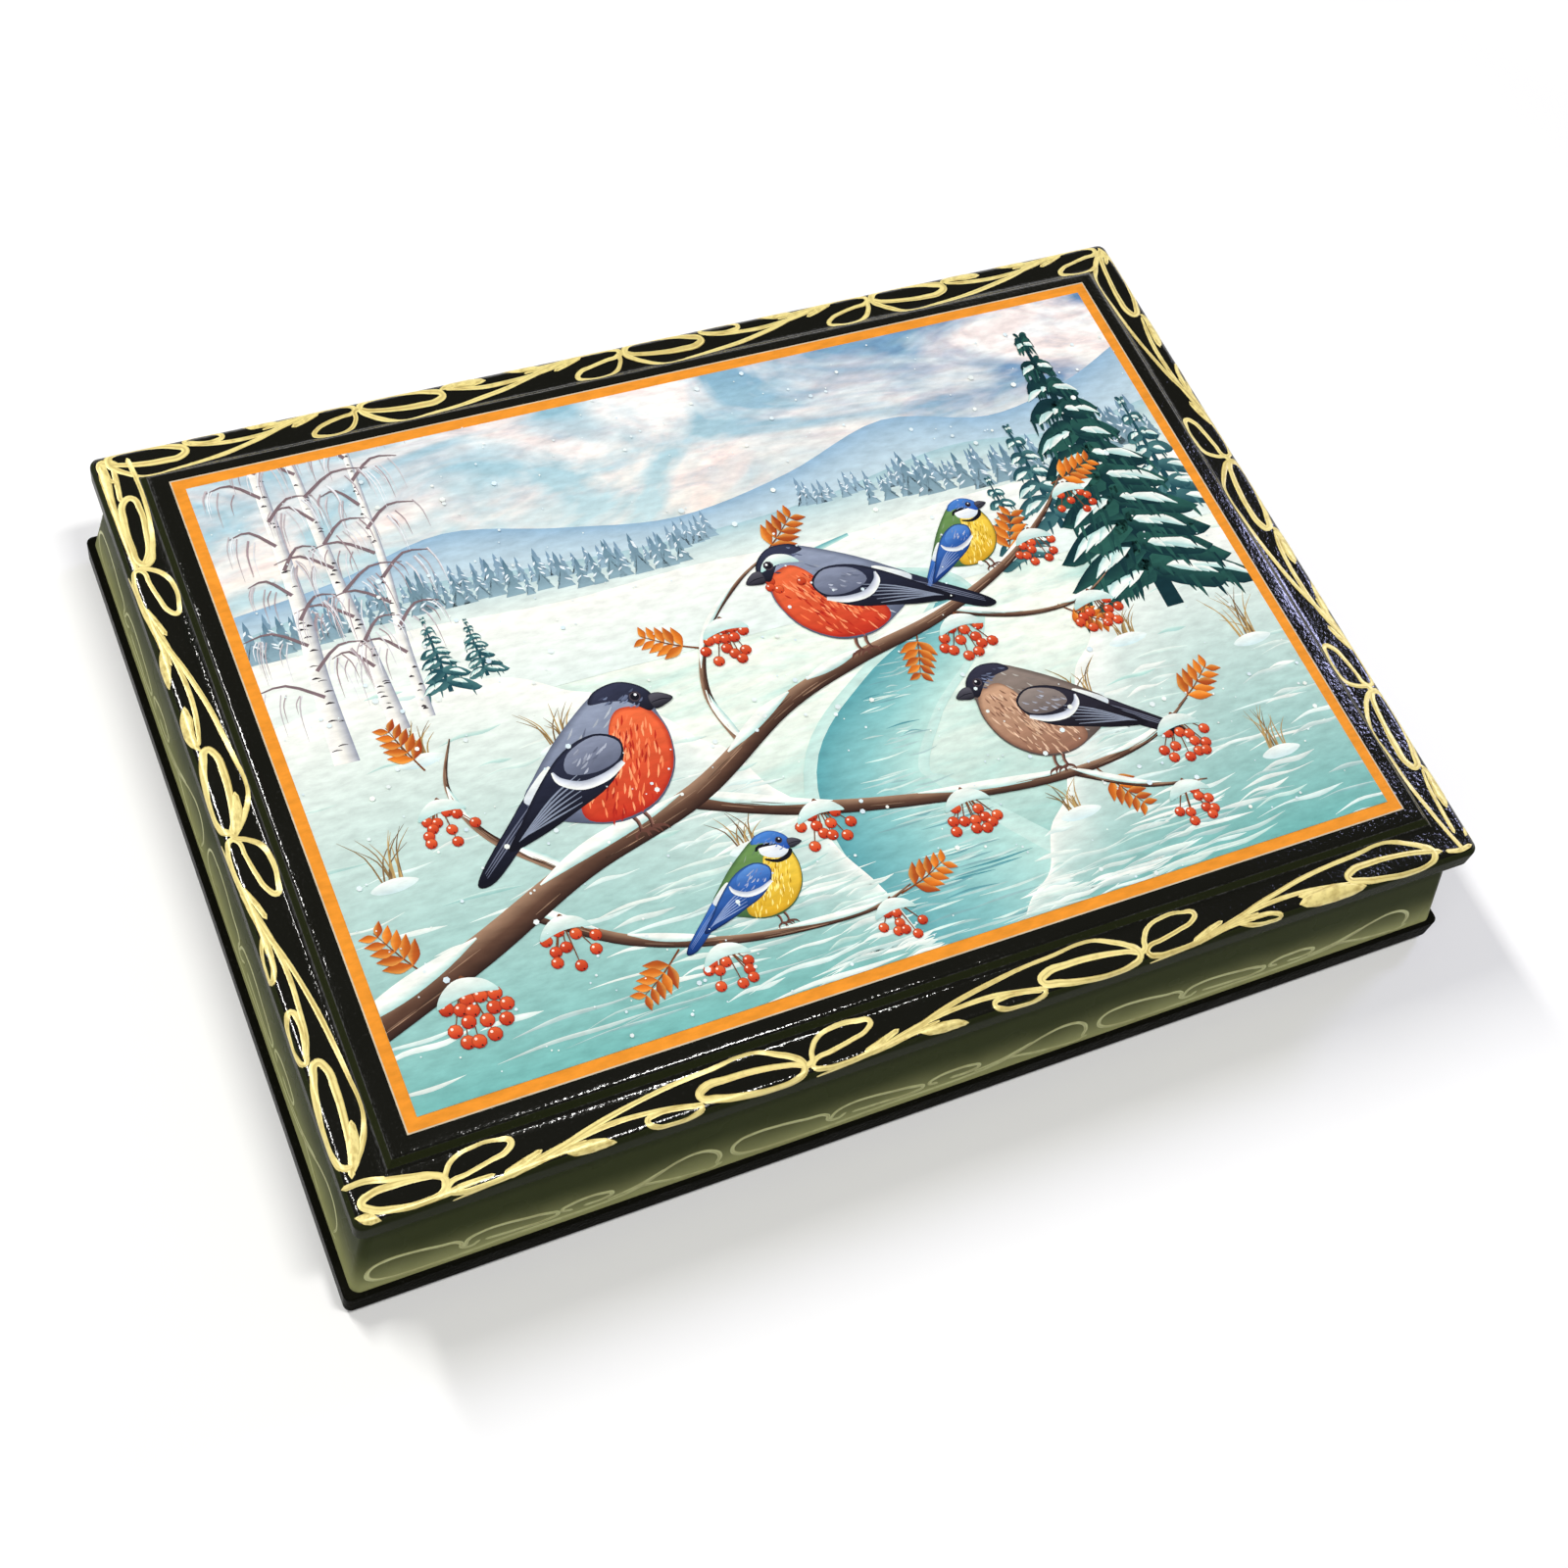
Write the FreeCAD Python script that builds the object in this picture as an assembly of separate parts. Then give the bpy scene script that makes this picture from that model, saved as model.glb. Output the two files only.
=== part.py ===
import FreeCAD, Part
import math
import os

# A rectangular lacquer box with a hinged lid. Lengths are in millimetres.
# X runs along the long side, Y from the front to the back, Z up.
# The origin is the middle of the underside.

# Lid
lid_length = 180.0
lid_width = 130.0
lid_edge_height = 4.5
lid_corner_radius = 1.5
lid_arris_radius = 1.3
lid_lower_arris_radius = 0.4
lid_overhang = 1.8

# Raised field in the middle of the lid, with its bevel
band_width = 6.1
bevel_width = 1.2
field_height = 2.2
field_arris_radius = 0.35

# Printed picture on the raised field
print_end_margin = 2.7
print_side_margin = 2.1
print_thickness = 0.3

# Walls, vertical inside and splayed outwards to the foot on the outside
wall_height = 17.5
wall_top_thickness = 5.0
wall_splay = 2.95
wall_corner_radius = 1.5

# Base board
base_height = 6.0
base_margin = 0.7
base_corner_radius = 2.0
base_upper_arris_radius = 0.4
base_lower_arris_radius = 1.8

# Collar, four strips inside the walls that the lid closes over
collar_thickness = 2.0
collar_rise = 2.0
collar_arris_radius = 0.5
collar_side_clearance = 0.4
collar_top_clearance = 0.5

# Linings of the floor and of the lid's underside
lining_thickness = 0.5
lining_edge_clearance = 0.2

# Brass butt hinges
hinge_length = 20.0
hinge_spacing = 104.0
hinge_setback = 1.3
leaf_reach = 4.2
leaf_thickness = 0.7
leaf_face_gap = 0.1
knuckle_radius = 1.3
knuckle_end_gap = 0.2
barrel_clearance = 0.3
middle_knuckle_share = 0.34
pin_radius = 0.6
pin_running_clearance = 0.05
pin_end_overhang = 0.25

# Brass hinge screws
screw_spacing = 12.0
screw_head_radius = 1.1
screw_head_depth = 0.5
screw_shank_radius = 0.55
screw_length = 3.8
screw_slot_width = 0.3
screw_slot_depth = 0.25

# How far a cutting shape runs past what it cuts, and how near a height counts as at it
overrun = 5.0
height_tolerance = 0.1

# Heights of the joints between the pieces
floor_z = base_height
joint_z = floor_z + wall_height
band_z = joint_z + lid_edge_height
field_z = band_z + field_height
collar_top_z = joint_z + collar_rise
recess_z = collar_top_z + collar_top_clearance + lining_thickness

# Half sizes in plan, each as (along X, along Y)
lid_half = (lid_length / 2, lid_width / 2)


def grown(half, amount):
    """Half sizes made larger, or smaller, by one amount on every side."""
    return (half[0] + amount, half[1] + amount)


wall_top_half = grown(lid_half, -lid_overhang)
wall_foot_half = grown(wall_top_half, wall_splay)
base_half = grown(wall_foot_half, base_margin)
wall_inner_half = grown(wall_top_half, -wall_top_thickness)
collar_inner_half = grown(wall_inner_half, -collar_thickness)
recess_half = grown(wall_inner_half, collar_side_clearance)
field_foot_half = grown(lid_half, -band_width)
field_top_half = grown(field_foot_half, -bevel_width)
floor_lining_half = grown(collar_inner_half, -lining_edge_clearance)
lid_lining_half = grown(recess_half, -lining_edge_clearance)
print_half = (field_top_half[0] - print_end_margin, field_top_half[1] - print_side_margin)

# The hinge axis lies in the joint plane, just behind the back wall
axis_y = lid_half[1] - hinge_setback
hinge_places = {"left": -hinge_spacing / 2, "right": hinge_spacing / 2}
leaf_edge_y = axis_y - leaf_reach
barrel_room_radius = knuckle_radius + barrel_clearance
screw_y = (leaf_edge_y + axis_y - barrel_room_radius) / 2


def vector(x, y, z):
    return FreeCAD.Vector(x, y, z)


def block(half, z0, z1):
    """A box centred on the origin in plan, between two heights."""
    size_x = 2 * half[0]
    size_y = 2 * half[1]
    return Part.makeBox(size_x, size_y, z1 - z0, vector(-half[0], -half[1], z0))


def rectangle(half, z):
    corners = [
        vector(-half[0], -half[1], z),
        vector(half[0], -half[1], z),
        vector(half[0], half[1], z),
        vector(-half[0], half[1], z),
    ]
    return Part.makePolygon(corners + corners[:1])


def tapered_block(low_half, z0, high_half, z1):
    """A solid whose four sides lean evenly between two rectangles."""
    return Part.makeLoft([rectangle(low_half, z0), rectangle(high_half, z1)], True, True)


def height_span(edge):
    return edge.BoundBox.ZMax - edge.BoundBox.ZMin


def corner_edges(solid):
    """The edges that climb from the bottom of a solid to its top."""
    least = solid.BoundBox.ZLength / 2
    return [edge for edge in solid.Edges if height_span(edge) > least]


def level_edges(solid, z):
    """The edges that lie flat at one height."""
    flat = [edge for edge in solid.Edges if height_span(edge) < height_tolerance]
    return [edge for edge in flat if abs(edge.BoundBox.ZMin - z) < height_tolerance]


def side_sector(inner_half, side):
    """A wedge of space, mitred at the corners, that holds one side of a frame."""
    reach = base_half[0] + overrun
    x, y = inner_half
    corners = {
        "front": [(-x, -y), (-x - reach, -y - reach), (x + reach, -y - reach), (x, -y)],
        "back": [(-x, y), (x, y), (x + reach, y + reach), (-x - reach, y + reach)],
        "left": [(-x, -y), (-x, y), (-x - reach, y + reach), (-x - reach, -y - reach)],
        "right": [(x, -y), (x + reach, -y - reach), (x + reach, y + reach), (x, y)],
    }
    points = [vector(px, py, -overrun) for px, py in corners[side]]
    face = Part.Face(Part.makePolygon(points + points[:1]))
    return face.extrude(vector(0, 0, field_z + 2 * overrun))


def cylinder_x(radius, x0, x1, y, z):
    """A cylinder that lies along X."""
    return Part.makeCylinder(radius, x1 - x0, vector(x0, y, z), vector(1, 0, 0))


def barrel_room(place):
    """The space that a hinge barrel needs in the wood, above and below."""
    x0 = place - hinge_length / 2 - barrel_clearance
    x1 = place + hinge_length / 2 + barrel_clearance
    return cylinder_x(barrel_room_radius, x0, x1, axis_y, joint_z)


def plate(x0, x1, y0, y1, up):
    """A flat piece of leaf on the upper (up = 1) or lower (up = -1) side of the joint."""
    inner_z = joint_z + up * leaf_face_gap / 2
    outer_z = inner_z + up * leaf_thickness
    low_z = min(inner_z, outer_z)
    return Part.makeBox(x1 - x0, y1 - y0, leaf_thickness, vector(x0, y0, low_z))


def mortise(place, up):
    """The flat cut in the wood that takes a leaf, open to the joint."""
    depth = leaf_face_gap / 2 + leaf_thickness
    low_z = joint_z if up > 0 else joint_z - depth
    x0 = place - hinge_length / 2
    return Part.makeBox(hinge_length, leaf_reach, depth, vector(x0, leaf_edge_y, low_z))


def knuckle_spans(place):
    """Where the knuckles lie along the pin: two of the body leaf, one of the lid leaf."""
    half = hinge_length / 2
    middle = half * middle_knuckle_share
    outer = [
        (place - half, place - middle - knuckle_end_gap),
        (place + middle + knuckle_end_gap, place + half),
    ]
    return outer, [(place - middle, place + middle)]


def hinge_leaf(place, up, spans, bore_radius):
    x0 = place - hinge_length / 2
    x1 = place + hinge_length / 2
    leaf = plate(x0, x1, leaf_edge_y, axis_y - barrel_room_radius, up)
    for start, end in spans:
        web = plate(start, end, axis_y - barrel_room_radius, axis_y, up)
        knuckle = cylinder_x(knuckle_radius, start, end, axis_y, joint_z)
        leaf = leaf.fuse(web).fuse(knuckle)
    bore = cylinder_x(bore_radius, x0 - overrun, x1 + overrun, axis_y, joint_z)
    leaf = leaf.removeSplitter().cut(bore)
    for screw in screws_at(place, up, False):
        leaf = leaf.cut(screw)
    return leaf


def screws_at(place, up, slotted):
    """The two countersunk screws of one leaf. They point away from the joint."""
    head_z = joint_z + up * leaf_face_gap / 2
    direction = vector(0, 0, up)
    screws = []
    for x in (place - screw_spacing / 2, place + screw_spacing / 2):
        top = vector(x, screw_y, head_z)
        head = Part.makeCone(screw_head_radius, screw_shank_radius, screw_head_depth, top, direction)
        shank = Part.makeCylinder(screw_shank_radius, screw_length, top, direction)
        screw = head.fuse(shank).removeSplitter()
        if slotted:
            slot_z = head_z if up > 0 else head_z - screw_slot_depth
            corner = vector(x - screw_slot_width / 2, screw_y - screw_head_radius, slot_z)
            slot = Part.makeBox(screw_slot_width, 2 * screw_head_radius, screw_slot_depth, corner)
            screw = screw.cut(slot)
        screws.append(screw)
    return screws


def base_board():
    board = block(base_half, 0, floor_z)
    board = board.makeFillet(base_corner_radius, corner_edges(board))
    board = board.makeFillet(base_lower_arris_radius, level_edges(board, 0))
    return board.makeFillet(base_upper_arris_radius, level_edges(board, floor_z))


def walls():
    """Four mitred walls, the back one cut for the hinges."""
    outside = tapered_block(wall_foot_half, floor_z, wall_top_half, joint_z)
    outside = outside.makeFillet(wall_corner_radius, corner_edges(outside))
    frame = outside.cut(block(wall_inner_half, floor_z - overrun, joint_z + overrun))
    for place in hinge_places.values():
        frame = frame.cut(barrel_room(place)).cut(mortise(place, -1))
        for screw in screws_at(place, -1, False):
            frame = frame.cut(screw)
    sides = ("front", "back", "left", "right")
    return {side + "_wall": frame.common(side_sector(wall_inner_half, side)) for side in sides}


def collars():
    """Four mitred strips that stand proud of the walls inside the lid's recess."""
    outside = block(wall_inner_half, floor_z, collar_top_z)
    outside = outside.makeFillet(collar_arris_radius, level_edges(outside, collar_top_z))
    frame = outside.cut(block(collar_inner_half, floor_z - overrun, collar_top_z + overrun))
    sides = ("front", "back", "left", "right")
    return {side + "_collar": frame.common(side_sector(collar_inner_half, side)) for side in sides}


def lid_board():
    slab = block(lid_half, joint_z, band_z)
    slab = slab.makeFillet(lid_corner_radius, corner_edges(slab))
    slab = slab.makeFillet(lid_arris_radius, level_edges(slab, band_z))
    slab = slab.makeFillet(lid_lower_arris_radius, level_edges(slab, joint_z))
    field = tapered_block(field_foot_half, band_z, field_top_half, field_z)
    field = field.makeFillet(field_arris_radius, level_edges(field, field_z))
    board = slab.fuse(field).removeSplitter()
    board = board.cut(block(recess_half, joint_z - overrun, recess_z))
    for place in hinge_places.values():
        board = board.cut(barrel_room(place)).cut(mortise(place, 1))
        for screw in screws_at(place, 1, False):
            board = board.cut(screw)
    return board


def hinges():
    """Both hinges: a leaf on the box, a leaf on the lid and the pin, with their screws."""
    pieces = {}
    body_screws = []
    lid_screws = []
    for name, place in hinge_places.items():
        outer, middle = knuckle_spans(place)
        pieces[name + "_hinge_body_leaf"] = hinge_leaf(place, -1, outer, pin_radius)
        lid_bore = pin_radius + pin_running_clearance
        pieces[name + "_hinge_lid_leaf"] = hinge_leaf(place, 1, middle, lid_bore)
        pin_half = hinge_length / 2 + pin_end_overhang
        pin = cylinder_x(pin_radius, place - pin_half, place + pin_half, axis_y, joint_z)
        pieces[name + "_hinge_pin"] = pin
        body_screws += screws_at(place, -1, True)
        lid_screws += screws_at(place, 1, True)
    pieces["hinge_body_screws"] = Part.makeCompound(body_screws)
    pieces["hinge_lid_screws"] = Part.makeCompound(lid_screws)
    return pieces


def stop_angle():
    """How far the lid turns, in degrees, before its back edge meets the splayed wall."""
    wall_gap = axis_y - wall_top_half[1]
    slope = wall_splay / wall_height
    lean = math.atan(slope)
    return math.degrees(math.acos(-wall_gap * math.cos(lean) / hinge_setback) - lean)


def build():
    pieces = {"base_board": base_board()}
    pieces.update(walls())
    pieces.update(collars())
    pieces["floor_lining"] = block(floor_lining_half, floor_z, floor_z + lining_thickness)
    pieces["lid_board"] = lid_board()
    pieces["lid_lining"] = block(lid_lining_half, recess_z - lining_thickness, recess_z)
    pieces["picture_print"] = block(print_half, field_z, field_z + print_thickness)
    pieces.update(hinges())
    return pieces


os.makedirs("parts", exist_ok=True)
total = 0
for node, shape in build().items():
    shape.exportStep("parts/" + node + ".step")
    total += 1
    print(node, "solids", len(shape.Solids), "valid", shape.isValid(), "volume", round(shape.Volume, 1))
print(total, "nodes, lid stop angle", round(stop_angle(), 1))
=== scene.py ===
import functools
import math
import random

import bmesh
import bpy
from mathutils import Matrix, Vector


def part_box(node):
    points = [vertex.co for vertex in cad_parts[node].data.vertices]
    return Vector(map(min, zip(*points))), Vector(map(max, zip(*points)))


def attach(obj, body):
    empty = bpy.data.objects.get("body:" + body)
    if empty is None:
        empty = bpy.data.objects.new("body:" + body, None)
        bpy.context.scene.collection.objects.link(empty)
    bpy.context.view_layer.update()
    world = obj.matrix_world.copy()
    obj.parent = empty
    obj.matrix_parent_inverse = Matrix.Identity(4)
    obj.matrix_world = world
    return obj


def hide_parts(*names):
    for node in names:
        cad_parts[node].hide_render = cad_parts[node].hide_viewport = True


bl_info = {
    "name": "Lacquer Box",
    "version": (1, 0, 0),
    "blender": (4, 5, 0),
    "location": "View3D > Sidebar > Lacquer Box",
    "description": "Builds a black lacquer box with a gold scroll and a picture on its hinged lid",
    "category": "Object",
}

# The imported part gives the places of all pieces, in metres
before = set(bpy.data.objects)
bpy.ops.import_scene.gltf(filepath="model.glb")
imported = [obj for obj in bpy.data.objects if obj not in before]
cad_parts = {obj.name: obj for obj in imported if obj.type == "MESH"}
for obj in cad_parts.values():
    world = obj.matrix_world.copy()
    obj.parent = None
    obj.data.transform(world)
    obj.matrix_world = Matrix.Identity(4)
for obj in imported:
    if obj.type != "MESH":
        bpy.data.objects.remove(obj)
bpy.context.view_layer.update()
MM = 0.001

SIDES = ("front", "back", "left", "right")
HINGES = ("left", "right")


def half_size(low, high):
    """Half the size along X and along Y."""
    return ((high.x - low.x) / 2, (high.y - low.y) / 2)


def grown(half, amount):
    """The half sizes with an amount added all round."""
    return (half[0] + amount, half[1] + amount)


LID_LOW, LID_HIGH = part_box("lid_board")
WALL_LOW, WALL_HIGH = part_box("front_wall")
BASE_LOW, BASE_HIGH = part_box("base_board")
PRINT_LOW, PRINT_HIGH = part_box("picture_print")
COLLAR_LOW, COLLAR_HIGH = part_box("front_collar")
LID_LINING_LOW, LID_LINING_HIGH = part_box("lid_lining")
FLOOR_LINING_LOW, FLOOR_LINING_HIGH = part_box("floor_lining")
LID_HALF = half_size(LID_LOW, LID_HIGH)
PRINT_HALF = half_size(PRINT_LOW, PRINT_HIGH)
WALL_FOOT = (half_size(WALL_LOW, WALL_HIGH)[0], -WALL_LOW.y)
WALL_INSIDE = (abs(COLLAR_LOW.x), abs(COLLAR_LOW.y))


def length(name, description, millimetres):
    """A property that holds a length."""
    return bpy.props.FloatProperty(name=name, description=description, default=millimetres * MM,
                                   unit="LENGTH")


def tint(name, description, value):
    """A property that holds a colour."""
    return bpy.props.FloatVectorProperty(name=name, description=description, default=value,
                                         subtype="COLOR", min=0, max=1)


class BoxSizes(bpy.types.PropertyGroup):
    """Sizes of the boards that the frame's boxes don't give."""

    lid_edge_height: length("Lid edge height", "Height of the lid's edge, below the raised field", 4.5)
    lid_corner: length("Lid corner radius", "Radius of the lid's corners in plan", 1.5)
    lid_arris: length("Lid arris radius", "Radius of the lid's upper arris", 1.3)
    lid_lower_arris: length("Lid lower arris radius", "Radius of the lid's lower arris", 0.4)
    band_width: length("Band width", "From the lid's edge to the foot of the bevel", 6.1)
    bevel_width: length("Bevel width", "Width of the bevel of the raised field in plan", 1.2)
    bevel_foot: length("Bevel foot radius", "Softening where the bevel meets the band", 1.0)
    field_arris: length("Field arris radius", "Radius of the raised field's upper arris", 0.6)
    margin_fall: length("Margin fall", "How far the margin round the picture falls toward the bevel", 0.34)
    recess_margin: length("Recess margin", "From the lid's edge to the recess in its underside", 6.4)
    wall_top_inset: length("Wall top inset", "From the wall's foot to its top, on the outside", 2.95)
    wall_corner: length("Wall corner radius", "Radius of the corners of the walls", 1.5)
    wall_arris: length("Wall arris radius", "Softening of the wall's upper outer edges", 0.25)
    base_corner: length("Base corner radius", "Radius of the base board's corners in plan", 1.2)
    base_lower_arris: length("Base lower arris radius", "Radius of the base board's lower arris", 1.8)
    base_upper_arris: length("Base upper arris radius", "Radius of the base board's upper arris", 0.4)
    collar_arris: length("Collar arris radius", "Radius of the collar's upper arrises", 0.5)
    collar_thickness: length("Collar thickness", "Thickness of the strips inside the walls", 2.0)
    lining_corner: length("Lining corner radius", "Radius of the linings' corners in plan", 0.8)
    lining_arris: length("Lining arris radius", "Radius of the arris of a lining's shown side", 0.3)
    border_width: length("Border width", "Width of the picture's border, with the sheet's pale edge", 2.0)
    paper_edge: length("Paper edge", "Width of the pale edge outside the border", 0.22)
    hinge_length: length("Hinge length", "Length of a hinge along its pin", 20.0)
    leaf_reach: length("Leaf reach", "How far a hinge's leaf reaches in from the pin", 4.2)
    mortise_depth: length("Mortise depth", "Depth of the cut in the wood that takes a leaf", 0.75)
    barrel_room: length("Barrel room", "Radius of the groove in the wood round a hinge's barrel", 1.6)


class BoxColours(bpy.types.PropertyGroup):
    """Colours of the finishes, as linear red, green and blue."""

    lacquer: tint("Lacquer", "Black lacquer of the boards", (0.006, 0.006, 0.004))
    # The olive cast of the lid edge's colour is a painted reflection; the lacquer itself is black
    edge: tint("Edge lacquer", "Duller lacquer of the lid's edge", (0.020, 0.024, 0.009))
    # The olive cast of the walls' colour is a painted reflection; the lacquer itself is black
    wall: tint("Wall lacquer", "Duller olive black lacquer of the walls", (0.038, 0.046, 0.015))
    # Painted reflection: the lighter olive gold along the foot of the walls stands for the surface under the
    # box, seen in the lacquer
    wall_dust: tint("Wall dusting", "Gold dusting along the foot of the walls", (0.38, 0.39, 0.17))
    red_lacquer: tint("Red lacquer", "Red lacquer of the collar", (0.36, 0.014, 0.008))
    flock: tint("Flock", "Red flock of the linings", (0.25, 0.008, 0.010))
    gold: tint("Gold paint", "Pale gold paint of the lid's scroll", (0.92, 0.78, 0.30))
    # Thin gold paint of the walls' scroll, with an olive cast that is a painted reflection
    worn_gold: tint("Worn gold paint", "Thin gold paint of the walls' scroll", (0.50, 0.52, 0.22))
    brass: tint("Brass", "Brass of the hinges", (0.72, 0.50, 0.20))
    border: tint("Border", "Orange border of the picture", (0.84, 0.30, 0.03))
    paper: tint("Paper", "Pale edge of the printed sheet", (0.62, 0.52, 0.36))


class StageSettings(bpy.types.PropertyGroup):
    """The camera, the floor and the lamps."""

    camera_place: bpy.props.FloatVectorProperty(
        name="Camera place", description="Where the camera stands",
        default=(-122.8 * MM, -159.4 * MM, 311.9 * MM), subtype="TRANSLATION")
    camera_aim: bpy.props.FloatVectorProperty(
        name="Camera aim", description="The point in the middle of the view",
        default=(-7.0 * MM, -16.85 * MM, 20.0 * MM), subtype="TRANSLATION")
    camera_roll: bpy.props.FloatProperty(
        name="Camera roll", description="Turn of the camera about its line of sight",
        default=math.radians(18.33), subtype="ANGLE")
    camera_lens: bpy.props.FloatProperty(
        name="Lens", description="Focal length for a 36 mm sensor, in millimetres", default=52.04,
        unit="CAMERA")
    floor_size: bpy.props.FloatProperty(
        name="Floor size", description="Side of the floor", default=6.0, unit="LENGTH")
    floor_colour: tint("Floor colour", "Colour of the pale floor", (0.86, 0.86, 0.85))
    floor_glow: bpy.props.FloatProperty(
        name="Floor glow", description="Light added where the floor is seen, so that it reads as white",
        default=0.10)
    ambient: bpy.props.FloatProperty(
        name="Ambient light", description="Strength of the even light from all round", default=0.15)


def settings():
    """The sizes as they are set in the scene."""
    return bpy.context.scene.lacquer_box_sizes


def finish_colour(name):
    """One of the colours as it is set in the scene."""
    return tuple(getattr(bpy.context.scene.lacquer_box_colours, name))


# Modelling helpers

# Upward part of the normal from which a face counts as an upper one
UPPER_FACE = 0.78
# How far the groove for a hinge's barrel runs past each of its ends
GROOVE_OVERRUN = 0.3 * MM
# How far the fall of the lid's margin begins under the edge of the picture
MARGIN_OVERLAP = 0.2 * MM


def deselect():
    """Clears the selection."""
    bpy.ops.object.select_all(action="DESELECT")


def choose(obj):
    """Makes one object the only chosen one."""
    deselect()
    obj.select_set(True)
    bpy.context.view_layer.objects.active = obj


def start_block(name, half, z0, z1):
    """A box primitive at its size and place, with its place in its mesh."""
    deselect()
    bpy.ops.mesh.primitive_cube_add(size=1, location=(0, 0, (z0 + z1) / 2))
    block = bpy.context.object
    block.name = name
    block.scale = (2 * half[0], 2 * half[1], z1 - z0)
    settle(block)
    return block


def settle(obj):
    """Puts the object's place, turn and scale into its mesh."""
    choose(obj)
    bpy.ops.object.transform_apply(location=True, rotation=True, scale=True)


def start_rod(name, radius, x0, x1, y, z):
    """A rod along X."""
    deselect()
    bpy.ops.mesh.primitive_cylinder_add(
        vertices=48, radius=radius, depth=x1 - x0, location=((x0 + x1) / 2, y, z),
        rotation=(0, math.radians(90), 0))
    rod = bpy.context.object
    rod.name = name
    settle(rod)
    return rod


def select_where(mesh, kind, test):
    """Selects the faces or edges of the mesh in edit mode that pass a test."""
    mesh.select_mode = {kind}
    for group in (mesh.verts, mesh.edges, mesh.faces):
        for item in group:
            item.select = False
    for item in mesh.edges if kind == "EDGE" else mesh.faces:
        if test(item):
            item.select_set(True)
    mesh.select_flush_mode()


def edit_where(obj, kind, test, operate):
    """Runs an edit mode operator on the faces or edges that pass a test."""
    choose(obj)
    bpy.ops.object.mode_set(mode="EDIT")
    bpy.ops.mesh.select_mode(type=kind)
    mesh = bmesh.from_edit_mesh(obj.data)
    select_where(mesh, kind, test)
    bmesh.update_edit_mesh(obj.data)
    operate()
    bpy.ops.object.mode_set(mode="OBJECT")


def climbs(edge):
    """True for an edge that runs up a corner."""
    rise = abs(edge.verts[0].co.z - edge.verts[1].co.z)
    return rise > 0.5 * edge.calc_length() and rise > MM


def lies_at(edge, z):
    """True for an edge at one height, within a few hundredths of a millimetre."""
    return all(abs(v.co.z - z) < 0.02 * MM for v in edge.verts)


def rim_at(z):
    """A test for the outer edges at one height, where a flat face meets a side."""

    def test(edge):
        if not lies_at(edge, z) or len(edge.link_faces) != 2:
            return False
        flat = [abs(face.normal.z) > 0.99 for face in edge.link_faces]
        return flat[0] != flat[1]

    return test


def round_edges(obj, test, radius, segments):
    """Rounds the edges that pass a test."""
    edit_where(obj, "EDGE", test, lambda: bpy.ops.mesh.bevel(
        offset=radius, segments=segments, profile=0.5, affect="EDGES"))


def taper_top(obj, half, new_half, z):
    """Draws the top of a block in, so that its sides lean."""
    factors = (new_half[0] / half[0], new_half[1] / half[1], 1)
    edit_where(obj, "FACE", lambda face: face.normal.z > 0.9,
               lambda: bpy.ops.transform.resize(value=factors, center_override=(0, 0, z)))


def combine(obj, tool, operation):
    """Adds or cuts away a tool solid and removes it."""
    choose(obj)
    modifier = obj.modifiers.new("combine", "BOOLEAN")
    modifier.operation = operation
    modifier.solver = "EXACT"
    modifier.object = tool
    bpy.ops.object.modifier_apply(modifier=modifier.name)
    bpy.data.objects.remove(tool)


def hollow_out(obj, inside, z0, z1):
    """Cuts a way right through a block, from below to above."""
    combine(obj, start_block("cavity", inside, z0 - MM, z1 + MM), "DIFFERENCE")


def polish(obj, angle=35):
    """Smooth shading that leaves flat faces flat."""
    choose(obj)
    bpy.ops.object.shade_smooth_by_angle(angle=math.radians(angle))
    modifier = obj.modifiers.new("flat faces stay flat", "WEIGHTED_NORMAL")
    modifier.keep_sharp = True
    bpy.ops.object.modifier_apply(modifier=modifier.name)


def finish_piece(obj, body, material, nodes=()):
    """Gives a piece its material and its body, and hides the nodes that it stands for."""
    obj.data.materials.clear()
    obj.data.materials.append(material)
    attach(obj, body)
    if nodes:
        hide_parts(*nodes)
    deselect()


def dull_sides(obj, material):
    """Gives a piece a second material on all faces but its upper ones."""
    obj.data.materials.append(material)
    for face in obj.data.polygons:
        face.material_index = int(face.normal.z < UPPER_FACE)


def bisect_keep(obj, point, normal):
    """Cuts a piece by a plane and keeps the side that the normal points away from."""
    choose(obj)
    bpy.ops.object.mode_set(mode="EDIT")
    bpy.ops.mesh.select_all(action="SELECT")
    bpy.ops.mesh.bisect(plane_co=point, plane_no=normal, use_fill=True, clear_outer=True)
    bpy.ops.object.mode_set(mode="OBJECT")


def mitred_side(ring, inner_half, side, name):
    """One side of a frame, copied and cut off at its two mitres."""
    x, y = inner_half
    cuts = {
        "front": [((-x, -y, 0), (-1, 1, 0)), ((x, -y, 0), (1, 1, 0))],
        "back": [((-x, y, 0), (-1, -1, 0)), ((x, y, 0), (1, -1, 0))],
        "left": [((-x, -y, 0), (1, -1, 0)), ((-x, y, 0), (1, 1, 0))],
        "right": [((x, -y, 0), (-1, -1, 0)), ((x, y, 0), (-1, 1, 0))],
    }
    piece = ring.copy()
    piece.data = ring.data.copy()
    piece.name = name
    bpy.context.scene.collection.objects.link(piece)
    for point, normal in cuts[side]:
        bisect_keep(piece, point, normal)
    return piece


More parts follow.
